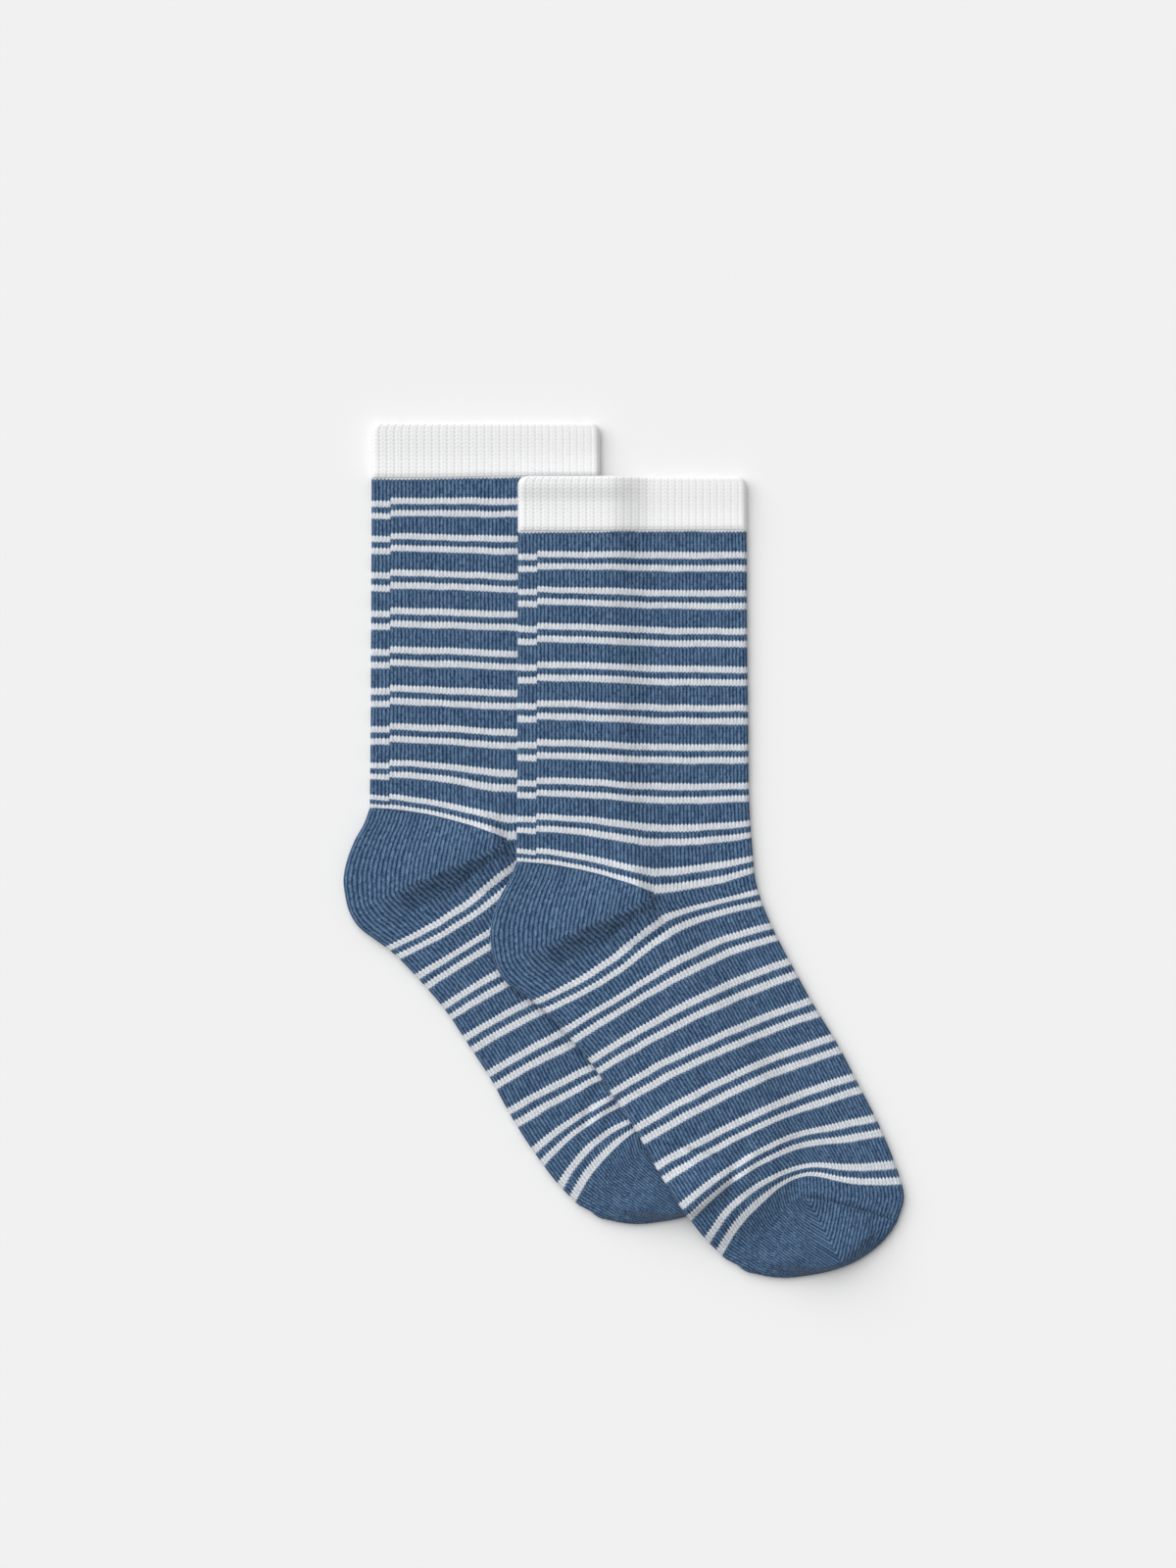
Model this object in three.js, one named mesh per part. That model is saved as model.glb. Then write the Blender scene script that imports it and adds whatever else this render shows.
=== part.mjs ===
// A pair of knitted crew socks laid flat, the front sock lying over the back one.
// Millimetres, +Z up, +Y towards the cuffs. The origin is under the middle of the pair.
//
// Each sock is one flattened tube: two layers of cloth with a thin hollow between them.
// It is worked out in its own frame, whose origin is the gore corner, the point on the upper
// layer where the leg, the heel pocket and the foot meet.
import * as THREE from 'three';

// Cloth
const BODY_WALL = 1.2;
const CUFF_WALL = 1.4;
const HOLLOW = 0.8;
const MOUTH_LIFT = 1.0;
const SEAM_GAP = 0.3;
const RIB_HEIGHT = 0.3;
const RIBS_ROUND_CUFF = 64;

// How the pair lies
const BACK_SOCK_X = -45;
const BACK_SOCK_Y = 16.5;
const REST_GAP = 0.55;
const DRAPE_SHOULDER = 2.5;
const DRAPE_REACH = 16;

// Knitting: courses are counted down from the cuff, and one course is about 1 mm deep.
const HEEL_COURSE = 108;
const TOE_COURSE = 204;
const TOE_GAP_COURSES = 0.5;
const SEAM_COURSE = 212;

// Where the wales stand across the upper layer, from the back edge at 0 to the front edge at 1
const GORE_PLACE = 0.6;
const KINK_COURSES = 9;

// Grid of the solids
const FLAT_TOP = [0, 0.14, 0.28, 0.44, 0.6, 0.76, 0.9, 1];
const FLAT_UNDER = [0, 0.28, 0.52, 0.76, 1];
const ROUND_STEPS = 4;
const HEEL_ROWS = 10;
const HEEL_TIP = 1.3;
const HEEL_SEAM_INSET = 0.36;
const HEEL_LEAST_OPENING = 0.9;
const TOE_ROWS = 14;
const EXTRA_FOOT_COURSES = [HEEL_COURSE + 4, TOE_COURSE - 8];
const OUTLINE_COURSE_STEP = 4;

const LEG_COLOUR = '#45658c';
const CUFF_COLOUR = '#efefee';

// Course lines over the upper layer. The back edge is the sole's edge in the foot. A bow is how
// far a course hangs towards the toe half-way along its back part or its front part.
const COURSE_COLUMNS = [
  'course', 'backX', 'backY', 'backBow', 'goreX', 'goreY', 'frontBow', 'frontX', 'frontY',
];
const LEG = namedRows(COURSE_COLUMNS, [
  [0, -41.9, 110.5, 0.2, 0.0, 110.9, 0.0, 28.3, 111.0],
  [9, -41.9, 102.0, 0.0, 0.0, 101.7, 0.0, 28.4, 101.6],
  [21, -41.9, 91.3, -0.1, 0.0, 90.3, 0.1, 28.4, 90.1],
  [33, -42.0, 80.1, -0.1, 0.0, 78.8, 0.1, 28.5, 78.4],
  [45, -42.0, 68.2, -0.2, 0.0, 67.0, 0.1, 28.6, 66.7],
  [57, -42.1, 56.4, -0.2, 0.0, 55.0, 0.1, 28.8, 54.8],
  [69, -42.1, 44.5, -0.2, 0.0, 42.9, 0.1, 28.9, 42.9],
  [81, -42.2, 32.9, -0.4, 0.0, 30.8, 0.2, 29.0, 31.2],
  [93, -42.3, 21.9, -0.9, 0.0, 18.0, 0.7, 29.6, 19.9],
  [105, -42.4, 12.3, -1.2, 0.0, 3.9, 0.9, 30.5, 9.2],
  [108, -42.4, 9.8, -2.0, 0.0, 0.0, 1.1, 30.7, 6.5],
]);
const FOOT = namedRows(COURSE_COLUMNS, [
  [108, -42.6, -29.4, 1.7, 0.0, 0.0, 1.1, 30.7, 6.5],
  [117, -35.5, -34.6, 1.9, 4.5, -9.2, -0.7, 32.5, -1.1],
  [129, -26.7, -43.6, -0.3, 10.0, -21.4, -1.0, 36.9, -11.7],
  [141, -18.9, -52.8, -0.6, 17.1, -32.7, -0.3, 42.6, -22.6],
  [153, -12.3, -62.7, -0.9, 23.8, -44.2, -0.2, 49.2, -34.6],
  [165, -5.1, -73.8, -0.7, 30.8, -54.9, -0.3, 56.1, -45.9],
  [177, 1.2, -85.3, -0.7, 36.9, -66.8, -0.3, 62.4, -58.0],
  [189, 9.0, -97.3, -2.0, 42.4, -76.0, -0.1, 69.0, -71.0],
  [201, 17.8, -108.3, -4.6, 47.4, -84.6, 1.0, 74.8, -85.5],
  [204, 21.0, -111.5, -3.6, 46.6, -86.7, 1.2, 76.1, -89.5],
  [208, 23.1, -112.8, -3.1, 46.7, -89.8, 0.7, 76.5, -94.2],
  [212, 25.2, -113.9, -2.5, 46.8, -93.0, -0.7, 74.5, -100.5],
]);
// The gore wale and the front edge run on from the leg into the foot.
const WHOLE = [...LEG, ...FOOT.slice(1)];

// Pocket outlines, as the reach from the pocket's corner at each angle from +X
const HEEL_OUTLINE = namedRows(['angle', 'reach'], [
  [167.1, 43.5], [173.6, 44.5], [180.3, 47.1], [186.9, 49.7], [193.7, 52.0],
  [199.2, 52.9], [204.9, 53.5], [210.1, 53.1], [214.6, 51.8],
]);
const TOE_OUTLINE = namedRows(['angle', 'reach'], [
  [219.6, 30.1], [231.5, 29.1], [242.3, 27.5], [253.4, 26.0], [267.7, 24.4],
  [287.2, 23.9], [305.9, 24.8], [321.3, 26.1], [335.7, 27.7], [344.8, 28.7],
]);

// The cuff's rows, up from its seam: how far each end is drawn in at the rounded top corners,
// and how far both faces of the cloth close in on its rounded top edge.
const CUFF = namedRows(['height', 'drawIn', 'closeIn'], [
  [SEAM_GAP, 0, 0],
  [7.0, 0, 0],
  [13.4, 0.1, 0],
  [15.6, 0.7, 0.1],
  [16.6, 2.6, 0.5],
]);

// Large soft forms raised in the upper layer
const HEEL_FOLD = {
  path: [[0, 0], [-8.4, -4.8], [-20.7, -9.1], [-33, -16.5]],
  width: 3.4,
  ridge: 0.9,
  trough: 0.35,
  troughOffset: 5.4,
  risenBy: 0.15,
  fadesFrom: 0.6,
};
const TOE_DOME = { x: 45.5, y: -95.5, halfX: 23, halfY: 19, height: 1.2 };

// Under the cuff's seam the support for the front sock eases up to the thicker cuff.
const CUFF_EASE_FROM = 8;
const CUFF_EASE_TO = 2;
const MOUTH_LIFT_FROM = 5;

function namedRows(columns, rows) {
  return rows.map((row) => Object.fromEntries(columns.map((name, i) => [name, row[i]])));
}

function smoothStep(low, high, value) {
  const t = THREE.MathUtils.clamp((value - low) / (high - low), 0, 1);
  return t * t * (3 - 2 * t);
}

// Slope of a cubic through three neighbouring knots, at the middle one
function middleSlope(x, y, i) {
  const before = (y[i] - y[i - 1]) / (x[i] - x[i - 1]);
  const after = (y[i + 1] - y[i]) / (x[i + 1] - x[i]);
  const share = (x[i] - x[i - 1]) / (x[i + 1] - x[i - 1]);
  return before * (1 - share) + after * share;
}

function hermite(x0, y0, slope0, x1, y1, slope1, x) {
  const h = x1 - x0;
  const t = (x - x0) / h;
  const t2 = t * t;
  const t3 = t2 * t;
  const ends = y0 * (2 * t3 - 3 * t2 + 1) + y1 * (3 * t2 - 2 * t3);
  return ends + h * (slope0 * (t3 - 2 * t2 + t) + slope1 * (t3 - t2));
}

// A smooth curve through knots that need not be evenly spaced
function throughKnots(x, y, at) {
  const last = x.length - 1;
  let i = 0;
  while (i < last - 1 && at > x[i + 1]) i += 1;
  const chord = (y[i + 1] - y[i]) / (x[i + 1] - x[i]);
  const slope0 = i === 0 ? chord : middleSlope(x, y, i);
  const slope1 = i + 1 === last ? chord : middleSlope(x, y, i + 1);
  return hermite(x[i], y[i], slope0, x[i + 1], y[i + 1], slope1, at);
}

function readTable(rows, key, name, at) {
  return throughKnots(rows.map((row) => row[key]), rows.map((row) => row[name]), at);
}

function tablePoint(rows, name, course) {
  return new THREE.Vector2(
    readTable(rows, 'course', `${name}X`, course),
    readTable(rows, 'course', `${name}Y`, course),
  );
}

// Half-way along one part of a course line, hung towards the toe by its bow
function bowedMiddle(backEnd, frontEnd, bow) {
  const along = frontEnd.clone().sub(backEnd).normalize();
  const toToe = new THREE.Vector2(along.y, -along.x);
  return backEnd.clone().add(frontEnd).multiplyScalar(0.5).addScaledVector(toToe, bow);
}

// One course line over the upper layer, as a function that gives the point at t on either half:
// t is 0 on the gore wale and 1 at the outline. The line bends sharply at the gore corner and
// ever less sharply away from it.
function courseLine(region, course) {
  const rows = region === 'leg' ? LEG : FOOT;
  const back = tablePoint(rows, 'back', course);
  const gore = tablePoint(WHOLE, 'gore', course);
  const front = tablePoint(WHOLE, 'front', course);
  const backMiddle = bowedMiddle(back, gore, readTable(rows, 'course', 'backBow', course));
  const frontMiddle = bowedMiddle(gore, front, readTable(WHOLE, 'course', 'frontBow', course));
  const places = [0, GORE_PLACE / 2, GORE_PLACE, (1 + GORE_PLACE) / 2, 1];
  const kink = Math.exp(-(((course - HEEL_COURSE) / KINK_COURSES) ** 2));
  return (half, t) => new THREE.Vector2(...['x', 'y'].map((axis) => {
    const knots = [back, backMiddle, gore, frontMiddle, front].map((point) => point[axis]);
    const end = half === 'back' ? 0 : 4;
    const middle = half === 'back' ? 1 : 3;
    const step = places[middle] - places[2];
    const ownSlope = (4 * knots[middle] - 3 * knots[2] - knots[end]) / (2 * step);
    const goreSlope = THREE.MathUtils.lerp(middleSlope(places, knots, 2), ownSlope, kink);
    const middleTurn = middleSlope(places, knots, middle);
    const endSlope = (3 * knots[end] - 4 * knots[middle] + knots[2]) / (2 * step);
    const at = THREE.MathUtils.lerp(places[2], places[end], t);
    if (t < 0.5) {
      return hermite(places[2], knots[2], goreSlope, places[middle], knots[middle], middleTurn, at);
    }
    return hermite(places[middle], knots[middle], middleTurn, places[end], knots[end], endSlope, at);
  }));
}

// A pocket fans round its corner, from a first course line to a last one. Every line of the fan
// keeps a share of the bend that each of those two has.
function pocketFan(corner, outline, firstLine, lastLine) {
  const firstEnd = firstLine(1).sub(corner);
  const lastEnd = lastLine(1).sub(corner);
  const angles = outline.map((row) => row.angle);
  return (turn) => {
    const angle = THREE.MathUtils.lerp(angles[0], angles[angles.length - 1], turn);
    const reach = readTable(outline, 'angle', 'reach', angle);
    const radians = THREE.MathUtils.degToRad(angle);
    const end = new THREE.Vector2(Math.cos(radians), Math.sin(radians)).multiplyScalar(reach);
    return (t) => {
      const firstBend = firstLine(t).sub(corner).addScaledVector(firstEnd, -t);
      const lastBend = lastLine(t).sub(corner).addScaledVector(lastEnd, -t);
      return corner.clone().addScaledVector(end, t)
        .addScaledVector(firstBend, 1 - turn)
        .addScaledVector(lastBend, turn);
    };
  };
}

const heelFan = pocketFan(
  new THREE.Vector2(0, 0),
  HEEL_OUTLINE,
  (t) => courseLine('leg', HEEL_COURSE)('back', t),
  (t) => courseLine('foot', HEEL_COURSE)('back', t),
);
const toeFan = pocketFan(
  tablePoint(FOOT, 'gore', SEAM_COURSE),
  TOE_OUTLINE,
  (t) => courseLine('foot', SEAM_COURSE)('back', t),
  (t) => courseLine('foot', SEAM_COURSE)('front', t),
);

// A cuff row is a straight line across, level with the first course at its ends
function cuffLine(row) {
  const start = courseLine('leg', 0);
  return (half, t) => {
    const point = start(half, t);
    const edge = start(half, 1);
    const inward = half === 'back' ? row.drawIn : -row.drawIn;
    const share = row.height / CUFF[CUFF.length - 1].height;
    const level = THREE.MathUtils.lerp(point.y, LEG[0].frontY, share);
    const reach = THREE.MathUtils.lerp(0, edge.x + inward, t);
    return new THREE.Vector2(THREE.MathUtils.lerp(point.x, reach, smoothStep(0, 1, t)),
      level + row.height);
  };
}

// The sock's outline seen from above, cuff to toe and back
function sockOutline() {
  const between = (from, to, step) => {
    const list = [];
    for (let value = from; value <= to; value += step) list.push(value);
    return list;
  };
  const edge = (region, half, from, to) => between(from, to, OUTLINE_COURSE_STEP)
    .map((course) => courseLine(region, course)(half, 1));
  const pocket = (fan, rows) => between(1, rows - 1, 1).map((row) => fan(row / rows)(1));
  return [
    ...[...CUFF].reverse().map((row) => cuffLine(row)('back', 1)),
    ...edge('leg', 'back', 0, HEEL_COURSE),
    ...pocket(heelFan, HEEL_ROWS),
    ...edge('foot', 'back', HEEL_COURSE, SEAM_COURSE),
    ...pocket(toeFan, TOE_ROWS),
    ...edge('foot', 'front', HEEL_COURSE, SEAM_COURSE).reverse(),
    ...edge('leg', 'front', 0, HEEL_COURSE - OUTLINE_COURSE_STEP).reverse(),
    ...CUFF.map((row) => cuffLine(row)('front', 1)),
  ];
}

function distanceToSegment(point, a, b) {
  const side = b.clone().sub(a);
  const t = THREE.MathUtils.clamp(point.clone().sub(a).dot(side) / side.lengthSq(), 0, 1);
  return point.distanceTo(a.clone().addScaledVector(side, t));
}

// Distance outside a closed outline, less than nothing inside it
function distanceOutside(point, outline) {
  let nearest = Infinity;
  let inside = false;
  outline.forEach((a, i) => {
    const b = outline[(i + 1) % outline.length];
    nearest = Math.min(nearest, distanceToSegment(point, a, b));
    const crosses = (a.y > point.y) !== (b.y > point.y);
    if (crosses && point.x < a.x + ((b.x - a.x) * (point.y - a.y)) / (b.y - a.y)) inside = !inside;
  });
  return inside ? -nearest : nearest;
}

// How far the upper layer is raised: the ridge and trough along the heel's fold, and the toe's dome
function heelFoldRelief(point) {
  const path = HEEL_FOLD.path.map((pair) => new THREE.Vector2(...pair));
  let nearest = Infinity;
  let across = 0;
  let along = 0;
  for (let i = 0; i < path.length - 1; i += 1) {
    const side = path[i + 1].clone().sub(path[i]);
    const from = point.clone().sub(path[i]);
    const t = THREE.MathUtils.clamp(from.dot(side) / side.lengthSq(), 0, 1);
    const gap = point.distanceTo(path[i].clone().addScaledVector(side, t));
    if (gap < nearest) {
      nearest = gap;
      across = Math.sign(side.cross(from)) * gap;
      along = (i + t) / (path.length - 1);
    }
  }
  const { width, ridge, trough, troughOffset, risenBy, fadesFrom } = HEEL_FOLD;
  const strength = smoothStep(0, risenBy, along) * (1 - smoothStep(fadesFrom, 1, along));
  const above = ridge * Math.exp(-((across / width) ** 2));
  const below = trough * Math.exp(-(((across - troughOffset) / width) ** 2));
  return strength * (above - below);
}

function toeDomeRelief(point) {
  const { x, y, halfX, halfY, height } = TOE_DOME;
  const q = ((point.x - x) / halfX) ** 2 + ((point.y - y) / halfY) ** 2;
  return q < 1 ? height * (1 - q * q) ** 2 : 0;
}

function relief(point) {
  return heelFoldRelief(point) + toeDomeRelief(point);
}

// Height of a sock's top where nothing lifts it, with the thicker cuff blended in
function sockTop(point) {
  const body = 2 * BODY_WALL + HOLLOW;
  const cuff = 2 * CUFF_WALL + HOLLOW + 2 * RIB_HEIGHT;
  const seam = LEG[0].frontY;
  const intoCuff = smoothStep(seam - CUFF_EASE_FROM, seam - CUFF_EASE_TO, point.y);
  return THREE.MathUtils.lerp(body, cuff, intoCuff) + Math.max(0, relief(point));
}

// The back sock lies on the surface. The front one is lifted over it and eases down past its edge.
const backOutline = sockOutline().map((p) => new THREE.Vector2(p.x + BACK_SOCK_X, p.y + BACK_SOCK_Y));
const backCentre = new THREE.Vector2(BACK_SOCK_X, BACK_SOCK_Y);

const liesFlat = () => 0;

function liesOverBackSock(point) {
  const outside = distanceOutside(point, backOutline);
  if (outside >= DRAPE_REACH) return 0;
  const ease = 1 - smoothStep(DRAPE_SHOULDER, DRAPE_REACH, outside);
  return ease * (sockTop(point.clone().sub(backCentre)) + REST_GAP);
}

// The section of the flattened tube is a ring of columns. Each column is on the half towards the
// front or the back edge; reach is its share of the flat part, and turn its angle on the round
// edge, 90 degrees on top and -90 underneath.
function halfColumns(half, flatTop, flatUnder) {
  const top = flatTop.map((reach) => ({ half, reach, turn: 90 }));
  const round = [];
  for (let i = 1; i < ROUND_STEPS; i += 1) {
    round.push({ half, reach: 1, turn: 90 - (180 * i) / ROUND_STEPS });
  }
  const under = [...flatUnder].reverse().map((reach) => ({ half, reach, turn: -90 }));
  return [...top, ...round, ...under];
}

function bodyColumns() {
  const front = halfColumns('front', FLAT_TOP, FLAT_UNDER);
  const back = halfColumns('back', FLAT_TOP, FLAT_UNDER).reverse();
  return [...front, ...back.slice(1, -1)];
}

// Columns at even steps of cloth round the section, one on each rib and one between two ribs
function ribColumns(halfThickness) {
  const frontFlat = LEG[0].frontX - halfThickness;
  const backFlat = -LEG[0].backX - halfThickness;
  const round = Math.PI * halfThickness;
  const stretches = [
    { half: 'front', from: 0, to: 1, turn: 90, length: frontFlat },
    { half: 'front', round: -1, length: round },
    { half: 'front', from: 1, to: 0, turn: -90, length: frontFlat },
    { half: 'back', from: 0, to: 1, turn: -90, length: backFlat },
    { half: 'back', round: 1, length: round },
    { half: 'back', from: 1, to: 0, turn: 90, length: backFlat },
  ];
  const girth = stretches.reduce((sum, stretch) => sum + stretch.length, 0);
  const columns = [];
  for (let k = 0; k < 2 * RIBS_ROUND_CUFF; k += 1) {
    let left = (girth * k) / (2 * RIBS_ROUND_CUFF);
    const stretch = stretches.find((item) => {
      if (left < item.length) return true;
      left -= item.length;
      return false;
    });
    const share = left / stretch.length;
    const raise = k % 2 === 0 ? RIB_HEIGHT : 0;
    if (stretch.round) {
      const turn = stretch.round * (180 * share - 90);
      columns.push({ half: stretch.half, reach: 1, turn, raise });
    } else {
      const reach = THREE.MathUtils.lerp(stretch.from, stretch.to, share);
      columns.push({ half: stretch.half, reach, turn: stretch.turn, raise });
    }
  }
  return columns;
}

// The outer and inner point of the cloth at one column of a line. The line runs from the gore
// wale to the outline; cloth gives its wall, hollow and how far its faces close in.
function clothPoint(line, column, cloth, support) {
  const { wall, hollow, lift = 0, closeIn = 0, tip = 0 } = cloth;
  const outerRadius = wall + hollow / 2;
  const innerRadius = hollow / 2;
  const length = line(1).distanceTo(line(0));
  const flatEnd = 1 - outerRadius / length;
  const start = tip / length;
  const turn = THREE.MathUtils.degToRad(column.turn);
  const onFlat = THREE.MathUtils.lerp(start, flatEnd, column.reach);
  const place = (radius) => {
    const point = line(onFlat + (radius * Math.cos(turn)) / length);
    const up = Math.sin(turn);
    const raised = up > 0 ? up * (relief(point) + lift) : 0;
    const z = support(point) + outerRadius + radius * up + raised;
    return new THREE.Vector3(point.x, point.y, z);
  };
  const rib = column.raise ?? 0;
  const ribRaise = column.turn < 0 ? rib * Math.cos(turn) : rib;
  return { outer: place(outerRadius - closeIn + ribRaise), inner: place(innerRadius + closeIn) };
}

// A wall is an outer face of quads, the same quads inside it turned round, and a rim along
// every open edge. Points with the same key are one point, so a quad may end in a corner.
class Wall {
  constructor() {
    this.keys = new Map();
    this.outer = [];
    this.inner = [];
    this.faces = [];
  }

  point(key, makePoint) {
    if (!this.keys.has(key)) {
      const { outer, inner } = makePoint();
      this.keys.set(key, this.outer.length);
      this.outer.push(outer);
      this.inner.push(inner);
    }
    return this.keys.get(key);
  }

  quad(a, b, c, d) {
    const corners = [a, b, c, d].filter((corner, i, all) => corner !== all[(i + 1) % 4]);
    this.faces.push([corners[0], corners[1], corners[2]]);
    if (corners.length === 4) this.faces.push([corners[0], corners[2], corners[3]]);
  }

  strip(first, second, closed) {
    const count = closed ? first.length : first.length - 1;
    for (let i = 0; i < count; i += 1) {
      const next = (i + 1) % first.length;
      this.quad(first[i], first[next], second[next], second[i]);
    }
  }

  geometry() {
    const count = this.outer.length;
    const triangles = this.faces.flatMap(([a, b, c]) => [a, b, c, a + count, c + count, b + count]);
    const edges = new Set(this.faces.flatMap(([a, b, c]) => [`${a},${b}`, `${b},${c}`, `${c},${a}`]));
    for (const edge of edges) {
      const [a, b] = edge.split(',').map(Number);
      if (!edges.has(`${b},${a}`)) triangles.push(b, a, a + count, b, a + count, b + count);
    }
    const points = [...this.outer, ...this.inner];
    const geometry = new THREE.BufferGeometry().setFromPoints(points);
    geometry.setIndex(signedVolume(points, triangles) < 0 ? triangles.reverse() : triangles);
    geometry.computeVertexNormals();
    return geometry;
  }
}

function signedVolume(points, triangles) {
  let volume = 0;
  for (let i = 0; i < triangles.length; i += 3) {
    const [a, b, c] = triangles.slice(i, i + 3).map((index) => points[index]);
    volume += a.dot(b.clone().cross(c)) / 6;
  }
  return volume;
}

function courseRow(wall, columns, region, course, cloth, support) {
  const line = courseLine(region, course);
  return columns.map((column, i) => {
    const shared = course === HEEL_COURSE && (column.half === 'front' || column.reach === 0);
    const key = shared ? `gore ${i}` : `${region} ${course} ${i}`;
    return wall.point(key, () => clothPoint((t) => line(column.half, t), column, cloth, support));
  });
}

const BODY_CLOTH = { wall: BODY_WALL, hollow: HOLLOW };

// Leg and foot are one tube, open in a lens behind the gore corner, where the heel pocket sits.
function bodyGeometry(support) {
  const wall = new Wall();
  const columns = bodyColumns();
  const row = (region) => (course) =>
    courseRow(wall, columns, region, course, BODY_CLOTH, support);
  const legRows = LEG.map((station) => station.course).map(row('leg'));
  const footCourses = FOOT.map((station) => station.course).filter((c) => c < TOE_COURSE);
  const footRows = [...footCourses, ...EXTRA_FOOT_COURSES, TOE_COURSE - TOE_GAP_COURSES]
    .sort((a, b) => a - b).map(row('foot'));
  for (const rows of [legRows, footRows]) {
    for (let i = 0; i < rows.length - 1; i += 1) wall.strip(rows[i], rows[i + 1], true);
  }
  return wall.geometry();
}

// The heel pocket fills the lens, with a seam's width left along both of its course lines.
function heelGeometry(support) {
  const wall = new Wall();
  const columns = halfColumns('back', FLAT_TOP, FLAT_UNDER);
  const rows = [];
  for (let r = 0; r <= HEEL_ROWS; r += 1) {
    const share = r / HEEL_ROWS;
    const line = (t) => {
      const opening = heelFan(0)(t).distanceTo(heelFan(1)(t));
      const inset = HEEL_SEAM_INSET / Math.max(opening, HEEL_LEAST_OPENING);
      return heelFan(THREE.MathUtils.lerp(inset, 1 - inset, share))(t);
    };
    rows.push(columns.map((column, i) => wall.point(`${r} ${i}`,
      () => clothPoint(line, column, { ...BODY_CLOTH, tip: HEEL_TIP }, support))));
  }
  for (let r = 0; r < HEEL_ROWS; r += 1) wall.strip(rows[r], rows[r + 1], false);
  return wall.geometry();
}

// The toe pocket is a band of courses all round, then a fan over the sole's half that turns
// round the toe corner and is joined to the band's front half along the toe seam.
function toeGeometry(support) {
  const wall = new Wall();
  const columns = bodyColumns();
  const courses = [TOE_COURSE, ...FOOT.map((station) => station.course).filter((c) => c > TOE_COURSE)];
  const band = courses.map((course) => courseRow(wall, columns, 'foot', course, BODY_CLOTH, support));
  for (let i = 0; i < band.length - 1; i += 1) wall.strip(band[i], band[i + 1], true);

  const halfCount = halfColumns('front', FLAT_TOP, FLAT_UNDER).length;
  const lastBand = band[band.length - 1];
  const seam = lastBand.slice(0, halfCount);
  const soleHalf = [seam[0], ...lastBand.slice(halfCount).reverse(), seam[halfCount - 1]];
  const fanColumns = halfColumns('back', FLAT_TOP, FLAT_UNDER);
  const rows = [soleHalf];
  for (let r = 1; r < TOE_ROWS; r += 1) {
    const line = toeFan(r / TOE_ROWS);
    rows.push(fanColumns.map((column, i) => {
      if (i === 0) return seam[0];
      if (i === halfCount - 1) return seam[halfCount - 1];
      return wall.point(`fan ${r} ${i}`, () => clothPoint(line, column, BODY_CLOTH, support));
    }));
  }
  rows.push(seam);
  for (let r = 0; r < TOE_ROWS; r += 1) wall.strip(rows[r + 1], rows[r], false);
  return wall.geometry();
}

// The cuff is a double welt in raised ribs over a plain inside, open at its mouth.
function cuffGeometry(support) {
  const wall = new Wall();
  const columns = ribColumns(CUFF_WALL + HOLLOW / 2);
  const top = CUFF[CUFF.length - 1].height;
  const rows = CUFF.map((row, r) => {
    const line = cuffLine(row);
    const lift = MOUTH_LIFT * smoothStep(MOUTH_LIFT_FROM, top, row.height);
    const cloth = { wall: CUFF_WALL, hollow: HOLLOW, lift, closeIn: row.closeIn };
    return columns.map((column, i) => wall.point(`${r} ${i}`,
      () => clothPoint((t) => line(column.half, t), column, cloth, support)));
  });
  for (let r = 0; r < rows.length - 1; r += 1) wall.strip(rows[r], rows[r + 1], true);
  return wall.geometry();
}

const legYarn = new THREE.MeshStandardMaterial({ color: LEG_COLOUR, roughness: 0.95, metalness: 0 });
const cuffYarn = new THREE.MeshStandardMaterial({ color: CUFF_COLOUR, roughness: 0.95, metalness: 0 });

function sock(name, support) {
  const group = new THREE.Group();
  const pieces = [
    ['cuff', cuffGeometry(support), cuffYarn],
    ['leg_and_foot', bodyGeometry(support), legYarn],
    ['heel', heelGeometry(support), legYarn],
    ['toe', toeGeometry(support), legYarn],
  ];
  for (const [piece, geometry, yarn] of pieces) {
    const mesh = new THREE.Mesh(geometry, yarn);
    mesh.name = `${name}_${piece}`;
    group.add(mesh);
  }
  return group;
}

const frontSock = sock('front', liesOverBackSock);
const backSock = sock('back', liesFlat);
backSock.position.set(BACK_SOCK_X, BACK_SOCK_Y, 0);

const pair = new THREE.Group();
pair.add(frontSock, backSock);
const middle = new THREE.Box3().setFromObject(pair).getCenter(new THREE.Vector3());
pair.position.set(-middle.x, -middle.y, 0);

export default pair;
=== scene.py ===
# %% [markdown]
# # A pair of striped crew socks, laid flat
#
# A knitted sock is one long tube of yarn loops. A column of loops is called a wale, and a row of
# loops round the tube is called a course. Here the tube lies flat, so its upper layer rests on
# its lower one, and the front sock rests on the back sock.
#
# The construction model gives the frame: eight nodes, four for each sock. Every node is replaced
# below by a fine shell of cloth with the same form, in which each wale is a real ridge.

# %% Frame, units and the bounds of the construction model
import math
from collections import namedtuple

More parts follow.
